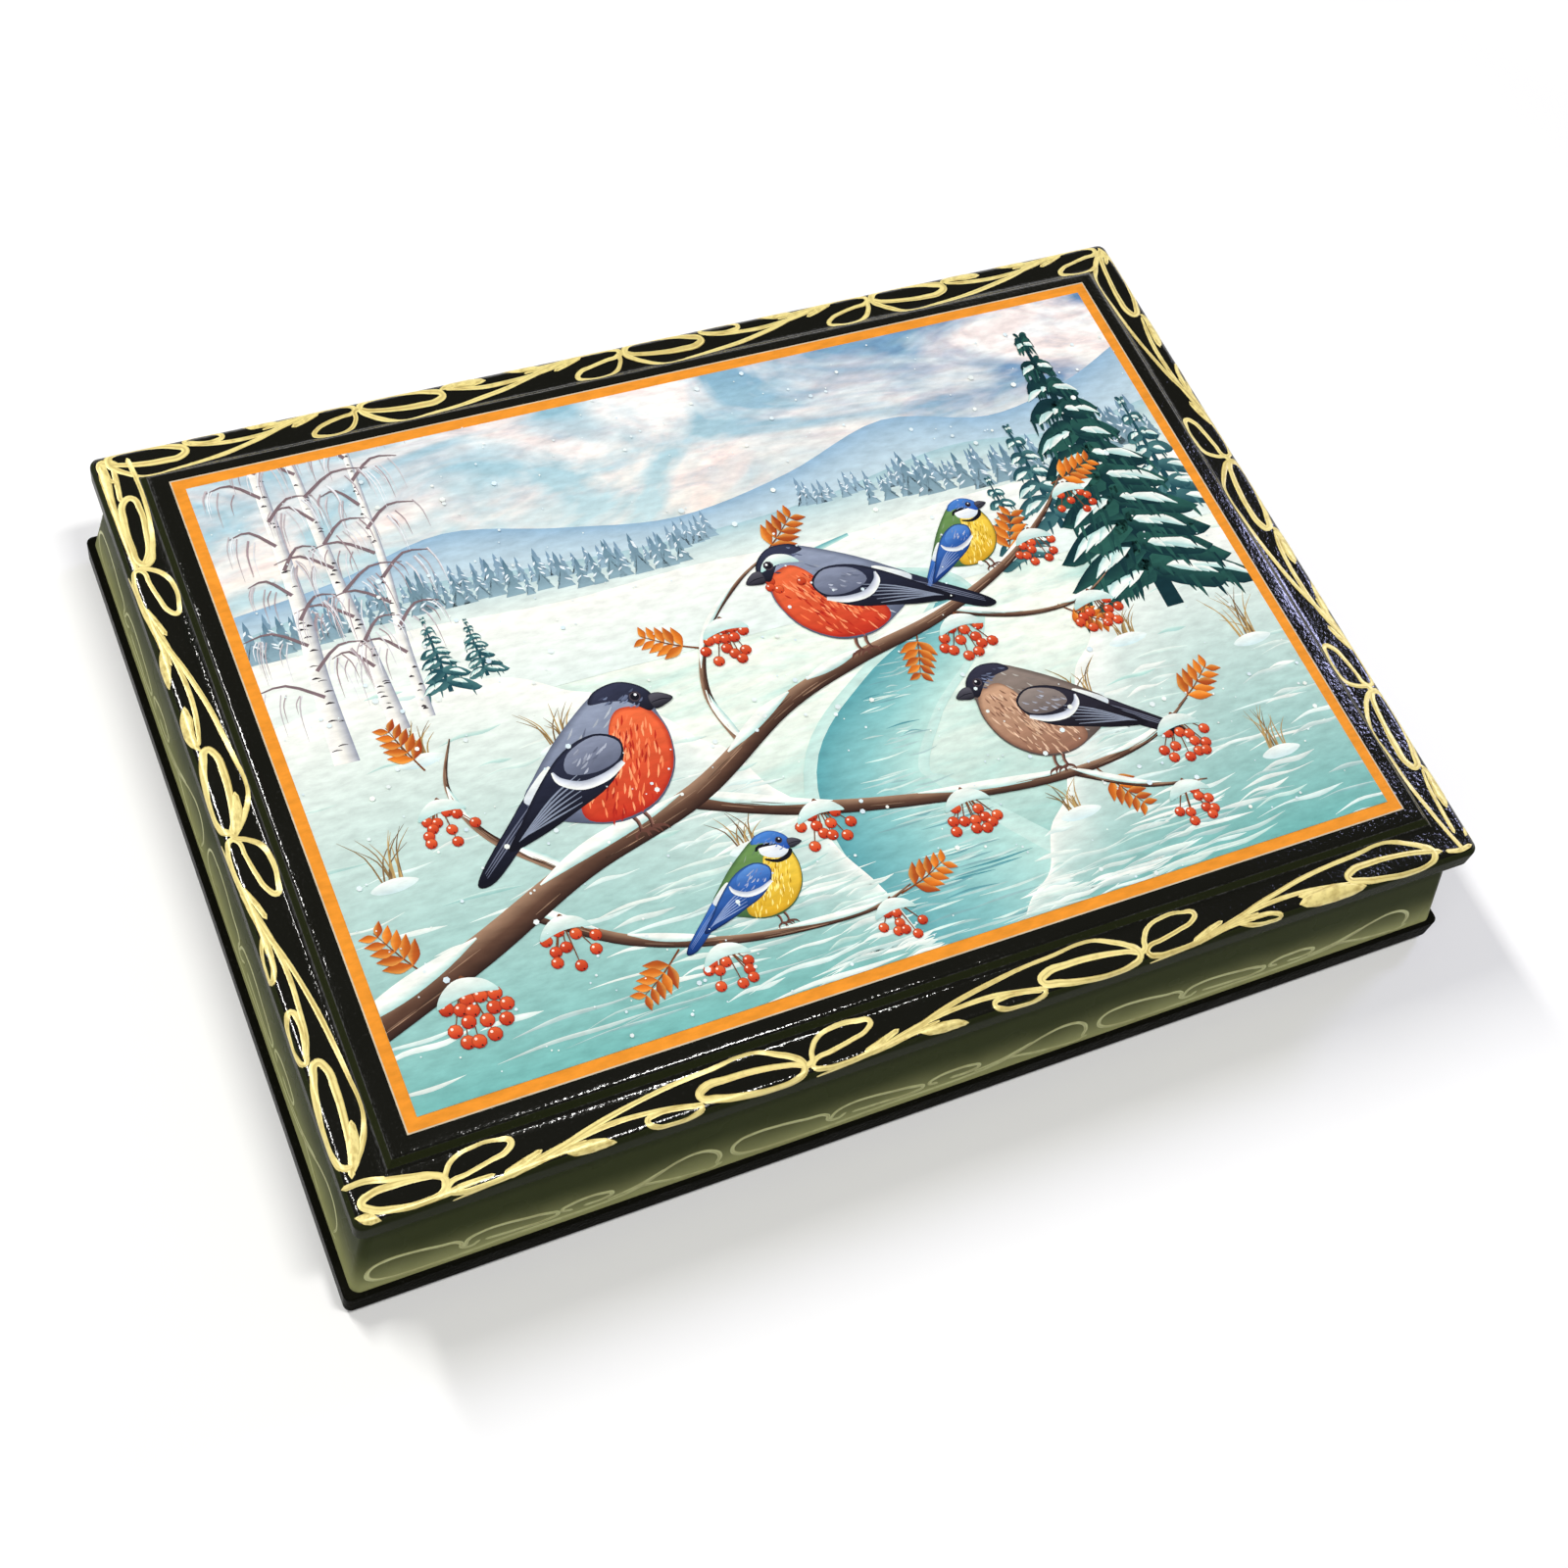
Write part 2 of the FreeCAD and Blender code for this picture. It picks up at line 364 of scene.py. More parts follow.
def cut_for_hinges(obj):
    """Cuts the mortises for the hinges' leaves and the grooves for their barrels."""
    sizes = settings()
    reach, depth = sizes.hinge_length / 2, sizes.mortise_depth
    span = reach + GROOVE_OVERRUN
    for hinge in HINGES:
        low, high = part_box(hinge + "_hinge_pin")
        place = (low + high) / 2
        mortise = start_block("mortise", (reach, sizes.leaf_reach / 2), -depth, depth)
        mortise.location = (place.x, place.y - sizes.leaf_reach / 2, place.z)
        settle(mortise)
        combine(obj, mortise, "DIFFERENCE")
        groove = start_rod("groove", sizes.barrel_room, place.x - span, place.x + span, place.y, place.z)
        combine(obj, groove, "DIFFERENCE")


# Materials


class Nodes:
    """Adds nodes to the tree of a material, a world or a node group."""

    def __init__(self, tree):
        """Takes the tree that the nodes go to."""
        self.tree = tree

    def feed(self, socket, value):
        """Links a value to a socket, or sets the socket to it."""
        if isinstance(value, bpy.types.NodeSocket):
            self.tree.links.new(value, socket)
        elif socket.type == "RGBA":
            socket.default_value = (*value, 1)
        else:
            socket.default_value = value

    def add(self, kind, feeds=(), **values):
        """Adds a node with its values and with what feeds its sockets, and gives its outputs."""
        node = self.tree.nodes.new("ShaderNode" + kind)
        for key, value in values.items():
            setattr(node, key, value)
        for name, value in dict(feeds).items():
            self.feed(node.inputs[name], value)
        return node.outputs

    def noise(self, place, scale, detail=2.0, rough=0.5, warp=0.0):
        """Soft noise between 0 and 1."""
        return self.add("TexNoise", {"Vector": place, "Scale": scale, "Detail": detail, "Roughness": rough,
                                     "Distortion": warp})["Fac"]

    def ramp(self, value, low, high, low_value=0.0, high_value=1.0):
        """A value mapped evenly from one range to another, and held at its ends."""
        return self.add("MapRange", {"Value": value, "From Min": low, "From Max": high, "To Min": low_value,
                                     "To Max": high_value}, clamp=True)["Result"]

    def mix(self, factor, a, b):
        """A colour between two."""
        return self.add("Mix", {"Factor": factor, 6: a, 7: b}, data_type="RGBA")[2]

    def math(self, operation, a, b):
        """Two values brought together."""
        return self.add("Math", {0: a, 1: b}, operation=operation)[0]

    def bump(self, height, distance):
        """Normals that follow a height."""
        return self.add("Bump", {"Height": height, "Distance": distance, "Strength": 1})["Normal"]

    def stretch(self, place, scale, turn=0):
        """A place scaled, and turned by some degrees."""
        return self.add("Mapping", {"Vector": place, "Rotation": (0, 0, math.radians(turn)),
                                    "Scale": scale})["Vector"]


class Finish(Nodes):
    """A new material with its shader, and the nodes that feed it."""

    def __init__(self, name):
        """Makes the material, with the place on the object at hand."""
        self.material = bpy.data.materials.new(name)
        self.material.use_nodes = True
        super().__init__(self.material.node_tree)
        self.shader = self.tree.nodes["Principled BSDF"]
        self.place = self.add("TexCoord")["Object"]

    def peel(self):
        """The outputs of the orange peel."""
        return self.add("Group", {"Place": self.place}, node_tree=orange_peel_group())

    def shade(self, feeds):
        """Feeds the shader's sockets and gives the material."""
        for name, value in feeds.items():
            self.feed(self.shader.inputs[name], value)
        return self.material


def once(make):
    """Lets a material be made only once, and handed out again by its name."""

    @functools.wraps(make)
    def get(name, *values):
        """Looks for the material before it is made."""
        return bpy.data.materials.get(name) or make(name, *values)

    return get


def orange_peel_group():
    """The fine ripple of a brushed and sprayed lacquer, with a little dust under it."""
    name = "orange peel"
    if name in bpy.data.node_groups:
        return bpy.data.node_groups[name]
    tree = bpy.data.node_groups.new(name, "ShaderNodeTree")
    tree.interface.new_socket(name="Place", in_out="INPUT", socket_type="NodeSocketVector")
    scale = tree.interface.new_socket(name="Ripple scale", in_out="INPUT", socket_type="NodeSocketFloat")
    scale.default_value = 1500.0
    for output in ("Height", "Dust"):
        tree.interface.new_socket(name=output, in_out="OUTPUT", socket_type="NodeSocketFloat")
    nodes = Nodes(tree)
    entry = tree.nodes.new("NodeGroupInput").outputs
    leave = tree.nodes.new("NodeGroupOutput").inputs
    fine = nodes.noise(entry["Place"], entry["Ripple scale"], 3.0)
    coarse = nodes.noise(entry["Place"], 140.0, 1.0)
    nodes.feed(leave["Height"], nodes.math("ADD", fine, nodes.math("MULTIPLY", coarse, 2.5)))
    specks = nodes.noise(entry["Place"], 2600.0, 0.0)
    nodes.feed(leave["Dust"], nodes.ramp(specks, 0.74, 0.80))
    return tree


# Each lacquer's colour, roughness, depth of orange peel and index of refraction. The edge of the
# lid is rubbed down and not polished, and the base board is duller than the lid.
LACQUERS = {
    "black lacquer": ("lacquer", 0.07, 0.075 * MM, 1.7),
    "base lacquer": ("lacquer", 0.10, 0.075 * MM, 1.02),
    # The edge's olive colour is a painted reflection
    "edge lacquer": ("edge", 0.16, 0.02 * MM, 1.05),
    "red lacquer": ("red_lacquer", 0.18, 0.02 * MM, 1.5),
}


@once
def lacquer_material(name):
    """Lacquer with a ripple, clouded gloss and fine dust under it."""
    tone, roughness, ripple, gloss = LACQUERS[name]
    colour = finish_colour(tone)
    dusty = tuple(min(1, c * 1.5 + 0.02) for c in colour)
    finish = Finish(name)
    peel = finish.peel()
    cloud = finish.noise(finish.place, 55.0, 3.0)
    return finish.shade({
        "Base Color": finish.mix(finish.math("MULTIPLY", peel["Dust"], 0.35), colour, dusty),
        "Roughness": finish.ramp(cloud, 0.35, 0.7, roughness, roughness + 0.06),
        "Normal": finish.bump(peel["Height"], ripple),
        "IOR": gloss,
    })


@once
def wall_material(name):
    """Duller lacquer with an olive cast that is a painted reflection, and a lighter olive gold toward its
    foot that is a painted reflection too.
    """
    finish = Finish(name)
    cloud = finish.noise(finish.place, 90.0, 3.0)
    up = finish.add("SeparateXYZ", {0: finish.place})["Z"]
    height = finish.math("ADD", up, finish.math("MULTIPLY", cloud, 3 * MM))
    # Painted reflection, lighter toward the foot of the wall and made uneven by the clouds
    dust = finish.ramp(height, WALL_LOW.z + 2 * MM, WALL_LOW.z + 11.5 * MM, 1.0, 0.0)
    dust = finish.math("POWER", dust, 2.0)
    return finish.shade({
        "Base Color": finish.mix(dust, finish_colour("wall"), finish_colour("wall_dust")),
        "Roughness": finish.ramp(cloud, 0.35, 0.7, 0.24, 0.34),
        "Normal": finish.bump(finish.peel()["Height"], 0.02 * MM),
        "IOR": 1.06,
    })


@once
def brass_material(name, shine):
    """Rolled brass, stained with age and scratched along the hinge."""
    colour = tuple(c * shine for c in finish_colour("brass"))
    tarnish = tuple(c * 0.55 for c in colour)
    finish = Finish(name)
    stain = finish.ramp(finish.noise(finish.place, 420.0, 4.0), 0.45, 0.75)
    scratches = finish.noise(finish.stretch(finish.place, (0.06, 1, 1)), 5200.0)
    return finish.shade({
        "Base Color": finish.mix(stain, colour, tarnish),
        "Roughness": finish.ramp(scratches, 0.3, 0.7, 0.24, 0.42),
        "Normal": finish.bump(scratches, 0.006 * MM),
        "Metallic": 1,
    })


@once
def flock_material(name):
    """Short red fibres, lighter and darker at random in a fine speckle, and unevenly worn."""
    colour = finish_colour("flock")
    light = tuple(min(1, c * 1.9 + 0.004) for c in colour)
    finish = Finish(name)
    fibres = finish.noise(finish.place, 3800.0)
    worn = finish.noise(finish.place, 70.0, 3.0)
    shade = finish.math("ADD", finish.math("MULTIPLY", fibres, 0.6), finish.math("MULTIPLY", worn, 0.4))
    return finish.shade({
        "Base Color": finish.mix(finish.ramp(shade, 0.35, 0.65), colour, light),
        "Normal": finish.bump(fibres, 0.12 * MM),
        "Roughness": 0.95,
        "Sheen Weight": 0.6,
        "Sheen Roughness": 0.4,
        "Sheen Tint": (1.0, 0.35, 0.3),
    })


@once
def scroll_material(name, colour):
    """Gold paint from a fine brush, thinner along its streaks."""
    thin = (colour[0] * 0.62, colour[1] * 0.55, colour[2] * 0.42)
    finish = Finish(name)
    bristles = finish.noise(finish.stretch(finish.add("TexCoord")["UV"], (7, 5, 1)), 1.0)
    pooled = finish.noise(finish.place, 900.0)
    streaks = finish.math("ADD", finish.ramp(bristles, 0.46, 0.66), finish.ramp(pooled, 0.52, 0.75, 0, 0.4))
    return finish.shade({
        "Base Color": finish.mix(streaks, colour, thin),
        "Normal": finish.bump(finish.noise(finish.place, 2400.0), 0.03 * MM),
        "Metallic": 0.12,
        "Roughness": 0.34,
    })


def varnished(finish, colour):
    """Inks with a light play of brush marks, under clear gloss varnish with a faint ripple."""
    marks = finish.noise(finish.stretch(finish.place, (0.35, 1, 1), 18), 900.0, 4.0, 0.6)
    shift = finish.ramp(marks, 0.3, 0.7, 0.84, 1.08)
    grey = finish.add("CombineColor", {0: shift, 1: shift, 2: shift})["Color"]
    return finish.shade({
        "Base Color": finish.add("Mix", {"Factor": 1, 6: colour, 7: grey}, data_type="RGBA",
                                 blend_type="MULTIPLY")[2],
        "Roughness": 0.14,
        "IOR": 1.4,
        "Normal": finish.bump(finish.noise(finish.place, 240.0), 0.01 * MM),
    })


@once
def paint_material(name):
    """The picture's inks, whose colours are on the mesh."""
    finish = Finish(name)
    return varnished(finish, finish.add("VertexColor", layer_name="paint")["Color"])


@once
def landscape_material(name):
    """Sky with soft clouds over a field of snow, both brushed on by noise."""
    finish = Finish(name)
    place = finish.stretch(finish.place, (1 / MM, 1 / MM, 0))
    split = finish.add("SeparateXYZ", {0: place})
    across, up = split["X"], split["Y"]

    def brushed(scale_x, scale_y, turn, detail=4.0):
        """Noise drawn out along the brush's way, with the place in millimetres."""
        return finish.noise(finish.stretch(place, (scale_x, scale_y, 1), turn), 1.0, detail, 0.55, 1.2)

    def climb(noise, amount):
        """The height in the picture, made uneven by noise."""
        return finish.math("ADD", up, finish.math("MULTIPLY", noise, amount))

    clouds = brushed(0.030, 0.060, 12)
    wisps = brushed(0.075, 0.20, 20, 5.0)
    clear = finish.mix(finish.ramp(up, 22, 54), ink(208, 228, 226), ink(146, 190, 206))
    storm_side = finish.math("ADD", across, finish.math("MULTIPLY", up, 1.1))
    torn = finish.ramp(wisps, 0.30, 0.62, 0.35, 1.0)
    storm = finish.math("MULTIPLY", finish.ramp(storm_side, 40, 118), torn)
    clear = finish.mix(storm, clear, ink(86, 124, 170))
    cream = finish.mix(finish.ramp(up, 22, 46), ink(250, 232, 214), ink(252, 250, 244))
    rosy = finish.mix(finish.ramp(wisps, 0.42, 0.70), cream, ink(236, 212, 206))
    sky = finish.mix(finish.ramp(clouds, 0.40, 0.62), clear, rosy)
    sky = finish.mix(finish.ramp(wisps, 0.58, 0.80, 0.0, 0.7), sky, ink(164, 198, 210))
    streaks = brushed(0.028, 0.16, -6, 5.0)
    snow = finish.mix(finish.ramp(streaks, 0.42, 0.72), ink(246, 251, 236), ink(192, 226, 214))
    snow = finish.mix(finish.ramp(climb(streaks, 24.0), 2, -44), snow, ink(118, 188, 182))
    horizon = finish.ramp(climb(wisps, 3.0), 20, 24)
    return varnished(finish, finish.mix(horizon, snow, sky))


# Boards


class LACQUERBOX_OT_base_board(bpy.types.Operator):
    """Add the base board with its rounded arrises"""

    bl_idname = "lacquer_box.base_board"
    bl_label = "Base board"

    def execute(self, context):
        sizes = settings()
        board = start_block("lacquered_base", half_size(BASE_LOW, BASE_HIGH), BASE_LOW.z, BASE_HIGH.z)
        round_edges(board, climbs, sizes.base_corner, 10)
        round_edges(board, rim_at(BASE_LOW.z), sizes.base_lower_arris, 8)
        round_edges(board, rim_at(BASE_HIGH.z), sizes.base_upper_arris, 4)
        polish(board)
        finish_piece(board, "box", lacquer_material("base lacquer"), ["base_board"])
        return {"FINISHED"}


class LACQUERBOX_OT_walls(bpy.types.Operator):
    """Add the four splayed walls, mitred at the corners"""

    bl_idname = "lacquer_box.walls"
    bl_label = "Walls"

    def execute(self, context):
        sizes = settings()
        low, high = WALL_LOW.z, WALL_HIGH.z
        ring = start_block("ring", WALL_FOOT, low, high)
        taper_top(ring, WALL_FOOT, grown(WALL_FOOT, -sizes.wall_top_inset), high)
        round_edges(ring, climbs, sizes.wall_corner, 12)
        round_edges(ring, rim_at(high), sizes.wall_arris, 3)
        hollow_out(ring, WALL_INSIDE, low, high)
        for side in SIDES:
            wall = mitred_side(ring, WALL_INSIDE, side, "lacquered_" + side + "_wall")
            if side == "back":
                cut_for_hinges(wall)
            polish(wall)
            finish_piece(wall, "box", wall_material("wall lacquer"), [side + "_wall"])
        bpy.data.objects.remove(ring)
        return {"FINISHED"}


class LACQUERBOX_OT_collar(bpy.types.Operator):
    """Add the four red strips that the lid closes over"""

    bl_idname = "lacquer_box.collar"
    bl_label = "Collar"

    def execute(self, context):
        sizes = settings()
        inside = grown(WALL_INSIDE, -sizes.collar_thickness)
        ring = start_block("ring", WALL_INSIDE, COLLAR_LOW.z, COLLAR_HIGH.z)
        hollow_out(ring, inside, COLLAR_LOW.z, COLLAR_HIGH.z)
        round_edges(ring, rim_at(COLLAR_HIGH.z), sizes.collar_arris, 5)
        for side in SIDES:
            strip = mitred_side(ring, inside, side, "red_" + side + "_collar")
            polish(strip)
            finish_piece(strip, "box", lacquer_material("red lacquer"), [side + "_collar"])
        bpy.data.objects.remove(ring)
        return {"FINISHED"}


class LACQUERBOX_OT_linings(bpy.types.Operator):
    """Add the flocked linings of the floor and of the lid"""

    bl_idname = "lacquer_box.linings"
    bl_label = "Linings"

    def execute(self, context):
        sizes = settings()
        for name, body, low, high in (
                ("floor_lining", "box", FLOOR_LINING_LOW, FLOOR_LINING_HIGH),
                ("lid_lining", "lid", LID_LINING_LOW, LID_LINING_HIGH)):
            lining = start_block("flocked_" + name, half_size(low, high), low.z, high.z)
            round_edges(lining, climbs, sizes.lining_corner, 4)
            shown = high.z if body == "box" else low.z
            round_edges(lining, rim_at(shown), sizes.lining_arris, 3)
            polish(lining)
            finish_piece(lining, body, flock_material("red flock"), [name])
        return {"FINISHED"}


class LACQUERBOX_OT_lid_board(bpy.types.Operator):
    """Add the lid board with its raised and bevelled field and the recess below"""

    bl_idname = "lacquer_box.lid_board"
    bl_label = "Lid board"

    def execute(self, context):
        sizes = settings()
        low, field = LID_LOW.z, LID_HIGH.z
        band = low + sizes.lid_edge_height
        board = start_block("lacquered_lid", LID_HALF, low, band)
        round_edges(board, climbs, sizes.lid_corner, 10)
        round_edges(board, rim_at(band), sizes.lid_arris, 8)
        round_edges(board, rim_at(low), sizes.lid_lower_arris, 4)
        foot = grown(LID_HALF, -sizes.band_width)
        shoulder = field - sizes.margin_fall
        raised = start_block("raised", foot, band - MM, shoulder)
        edit_where(raised, "FACE", lambda face: face.normal.z < -0.9,
                   lambda: bpy.ops.transform.translate(value=(0, 0, MM)))
        taper_top(raised, foot, grown(foot, -sizes.bevel_width), shoulder)
        round_edges(raised, rim_at(shoulder), sizes.field_arris, 5)
        margin = LID_HALF[0] - sizes.band_width - sizes.bevel_width - PRINT_HALF[0]

        def raise_middle():
            """Lifts the field under the picture, so that its margin falls away from it."""
            bpy.ops.mesh.inset(thickness=margin - sizes.field_arris + MARGIN_OVERLAP)
            bpy.ops.transform.translate(value=(0, 0, sizes.margin_fall))

        edit_where(raised, "FACE", lambda face: face.normal.z > 0.999, raise_middle)
        edit_where(raised, "FACE", lambda face: face.normal.z < -0.9,
                   lambda: bpy.ops.mesh.extrude_region_move(
                       TRANSFORM_OT_translate={"value": (0, 0, -MM)}))
        combine(board, raised, "UNION")
        round_edges(board, rim_at(band), sizes.bevel_foot, 8)
        recess_top = LID_LINING_HIGH.z
        recess = start_block("recess", grown(LID_HALF, -sizes.recess_margin), low - MM, recess_top)
        combine(board, recess, "DIFFERENCE")
        cut_for_hinges(board)
        polish(board)
        finish_piece(board, "lid", lacquer_material("black lacquer"), ["lid_board"])
        dull_sides(board, lacquer_material("edge lacquer"))
        return {"FINISHED"}


class LACQUERBOX_OT_hinges(bpy.types.Operator):
    """Give the brass hinges and their screws their finish"""

    bl_idname = "lacquer_box.hinges"
    bl_label = "Hinges"

    def execute(self, context):
        leaves = [side + part for side in HINGES
                  for part in ("_hinge_body_leaf", "_hinge_lid_leaf", "_hinge_pin")]
        screws = ["hinge_body_screws", "hinge_lid_screws"]
        for names, brass in ((leaves, brass_material("hinge brass", 0.85)),
                             (screws, brass_material("screw brass", 1.25))):
            for name in names:
                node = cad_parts[name]
                node.data.materials.clear()
                node.data.materials.append(brass)
        return {"FINISHED"}


# Gold scroll

# One repeat of the lid's scroll. A point has its place along the band, its place in from the
# lid's edge and the brush's half width, all in millimetres.
REPEAT = 54.2
MAIN_LINE = (
    (0, 1.9, 0.35), (0.7, 3.5, 0.3), (2.4, 5.2, 0.32), (5.2, 5.9, 0.34), (8.6, 5.7, 0.34), (10.4, 5.0, 0.36),
    (9.6, 4.0, 0.3), (6.8, 3.2, 0.26), (3.4, 2.6, 0.26), (0.6, 2.1, 0.3), (0.2, 1.3, 0.32), (1.5, 0.6, 0.34),
    (4.5, 0.3, 0.32), (8.5, 0.5, 0.36), (12.5, 1.1, 0.36), (17, 2.0, 0.34), (21, 3.1, 0.3), (25, 3.9, 0.3),
    (30, 4.7, 0.3), (35, 5.3, 0.3), (40.5, 5.7, 0.32), (45.5, 6.0, 0.3), (48, 5.6, 0.32), (50, 4.7, 0.34),
    (52, 3.5, 0.36), (53.2, 2.3, 0.42), (53, 1.1, 0.42), (51.5, 0.3, 0.4), (48, 0.0, 0.42), (43.5, 0.5, 0.42),
    (39.5, 1.3, 0.44), (37.2, 2.4, 0.46), (38.2, 3.3, 0.46), (42, 3.6, 0.42), (47, 3.3, 0.36),
    (51.5, 2.6, 0.32),
)
STEMS = (
    ((10.5, 0.9, 0.2), (14.5, 1.7, 0.28), (19, 2.4, 0.3), (24, 2.7, 0.3), (29, 2.6, 0.3), (33, 2.2, 0.26),
     (36, 1.7, 0.16)),
    ((9, 0.3, 0.2), (12, 0.8, 0.3), (16, 1.2, 0.32), (19, 1.1, 0.2)),
    ((8.5, 0.9, 0.3), (11, 1.7, 0.34), (13.6, 2.3, 0.3)),
    ((0.5, -0.4, 0.12), (5, 0.1, 0.26), (10, 0.7, 0.3), (16, 1.4, 0.28), (20, 1.7, 0.12)),
)
OPEN_LOOP = ((36.2, 1.5, 0.3), (37, 0.9, 0.32), (35.6, 0.0, 0.34), (32.6, -0.1, 0.34), (29.8, 0.5, 0.32),
             (28.9, 1.4, 0.34), (30.4, 1.9, 0.3), (33.4, 1.8, 0.28), (36.2, 1.2, 0.24))
FIRST_LEAF = {
    "filled": (((16.6, 1.2, 0.15), (18.2, 0.9, 0.62), (20.4, 0.6, 0.74), (22.4, 0.4, 0.62),
                (23.6, 0.2, 0.3)),),
    "open": (((16.4, 1.3, 0.2), (19.6, 1.3, 0.3), (22.8, 0.9, 0.32), (23.6, 0.2, 0.34), (21.6, -0.2, 0.32),
              (18.4, 0.3, 0.3), (16.4, 1.1, 0.2)),),
}
SECOND_LEAF = {
    "open": (OPEN_LOOP,),
    "filled": (((29, 1.4, 0.4), (31, 1.0, 0.8), (33.6, 0.7, 0.85), (35.8, 0.9, 0.5), (37, 1.4, 0.2)),),
    "large": (((28.6, 1.0, 0.7), (30.6, 0.9, 1.15), (34, 0.7, 1.3), (37, 0.5, 1.0), (38.8, 0.5, 0.5)),
              ((28.4, 2.1, 0.3), (33, 2.1, 0.3), (37, 1.6, 0.2))),
}
# The scroll runs on round the lid from the front left corner to the right. Each repeat has the
# places of the knots where it starts and ends, and its two leaves.
LID_SCROLL = {
    "front": ((12.7, 65.6, "filled", "open"), (65.6, 119.8, "filled", "open"),
              (119.8, 173.0, "open", "large")),
    "right": ((-17.5, 31.8, "open", "filled"), (31.8, 80.0, "filled", "filled"),
              (80.0, 128.0, "open", "filled")),
    "back": ((2.5, 48.0, "filled", "filled"), (48.0, 93.5, "filled", "open"),
             (93.5, 138.5, "filled", "filled"), (138.5, 178.0, "filled", "open")),
    "left": ((22.2, 70.0, "filled", "filled"), (70.0, 122.5, "open", "open")),
}
# What the repeats leave at the corners
LID_CORNER_STROKES = {
    "front": (
        ((0.5, 5.9, 0.3), (3, 6.0, 0.34), (6, 5.3, 0.36), (9, 4.6, 0.36), (11.6, 3.9, 0.4), (13, 2.8, 0.42),
         (12.4, 1.4, 0.4), (9.5, 0.8, 0.36), (5.5, 1.2, 0.4), (2.6, 2.2, 0.44), (1.8, 3.2, 0.44),
         (3.2, 4.1, 0.4), (6.5, 4.3, 0.4), (9.5, 4.1, 0.34), (12, 3.6, 0.2)),
        ((9.5, 0.7, 0.2), (12.7, 0.9, 0.36), (15, 1.2, 0.34), (19, 1.3, 0.2)),
        ((0.9, 1.5, 0.3), (1.6, 1.2, 0.6), (2.5, 0.8, 0.62), (3.1, 0.5, 0.3)),
    ),
    "left": (
        ((2.2, 5.6, 0.3), (5.5, 5.9, 0.32), (10, 6.0, 0.34), (15, 5.6, 0.34), (19, 4.7, 0.36),
         (21.6, 3.4, 0.42), (21.4, 2.4, 0.4), (18, 1.9, 0.4), (13, 2.1, 0.42), (9.6, 3.0, 0.42),
         (9.2, 4.2, 0.4), (11.5, 4.9, 0.36), (16, 4.6, 0.34), (19.5, 3.9, 0.3), (21.8, 2.6, 0.3)),
        ((2.4, 1.6, 0.5), (4.6, 1.5, 0.7), (8, 1.3, 0.5), (12, 1.2, 0.36), (17, 1.3, 0.34), (22, 1.5, 0.3)),
        ((1.2, 3.2, 0.2), (5, 3.0, 0.36), (9, 2.6, 0.3)),
        ((63.6, 4.0, 0.4), (66.0, 3.5, 0.7), (68.4, 2.8, 0.6), (69.8, 2.1, 0.3)),
        ((116.0, 4.0, 0.4), (118.4, 3.5, 0.7), (120.8, 2.8, 0.6), (122.2, 2.1, 0.3)),
    ),
    "right": (
        ((1.4, 5.6, 0.3), (1.0, 3.4, 0.34), (1.2, 1.6, 0.3)),
    ),
    "back": (
        ((1.6, 1.6, 0.3), (1.2, 3.0, 0.4), (1.8, 4.6, 0.3)),
        ((176.5, 2.0, 0.3), (178.4, 1.6, 0.34), (178.8, 3.4, 0.3), (177.6, 5.6, 0.3)),
    ),
}
# One repeat of the thin scroll on the walls: along the wall, up from its foot, half width
WALL_REPEAT = 55.0
WALL_LINES = (
    ((54.6, 1.2, 0.24), (53.8, 0.8, 0.26), (51, 0.7, 0.26), (47, 1.4, 0.28), (43, 2.4, 0.26),
     (40.5, 2.7, 0.16)),
    ((17, 3.0, 0.22), (16.2, 2.4, 0.24), (14.6, 2.9, 0.26), (14.4, 4.2, 0.26), (11, 5.3, 0.28),
     (7, 6.2, 0.28), (3.5, 6.3, 0.28), (1.4, 5.6, 0.28), (0.7, 4.0, 0.3), (1.3, 2.5, 0.3), (3.5, 1.5, 0.28),
     (8, 1.0, 0.28), (14, 1.0, 0.28), (22, 1.3, 0.26), (30, 1.3, 0.26), (36, 1.5, 0.24), (41.5, 2.4, 0.26),
     (44.5, 4.0, 0.26), (47.5, 5.7, 0.28), (50.5, 6.4, 0.28), (53.2, 5.4, 0.28), (54.4, 3.4, 0.28),
     (54.2, 1.8, 0.24)),
    ((15, 3.0, 0.24), (15.6, 4.4, 0.28), (17.5, 5.2, 0.28), (20.5, 5.3, 0.28), (24, 4.7, 0.28),
     (27.5, 3.9, 0.28), (29, 3.0, 0.3), (27.6, 2.3, 0.28), (23, 2.4, 0.26), (18.5, 2.8, 0.2)),
    ((31, 2.7, 0.24), (29.8, 3.3, 0.28), (31, 4.2, 0.3), (33.4, 4.6, 0.3), (36, 4.3, 0.3), (37.4, 3.4, 0.3),
     (36.4, 2.7, 0.28), (33.5, 2.7, 0.24)),
    ((37, 2.2, 0.14), (41.5, 3.1, 0.26), (45.2, 4.8, 0.16)),
)
# Where the repeats start and end along each wall
WALL_SCROLL = {
    "front": ((1.6, 55.0), (55.6, 116.0), (116.6, 176.0)),
    "right": ((1.6, 62.0), (62.6, 124.0)),
    "back": ((1.6, 60.0), (60.6, 118.0), (118.6, 175.0)),
    "left": ((1.6, 61.0), (61.6, 124.5)),
}
# How much fuller the strokes are than their points say
LID_FULLNESS = 1.25
WALL_FULLNESS = {"front": 1.25, "right": 0.85, "back": 0.85, "left": 0.85}
# How far a stroke's tip reaches and how wide it ends, against the half width before it
TIP_REACH = 1.8
TIP_WIDTH = 0.12
# Height of a stroke against its width
STROKE_RELIEF = 0.1
# The strokes keep this far from the corners of the lid, in millimetres
CORNER_ROOM = 0.5


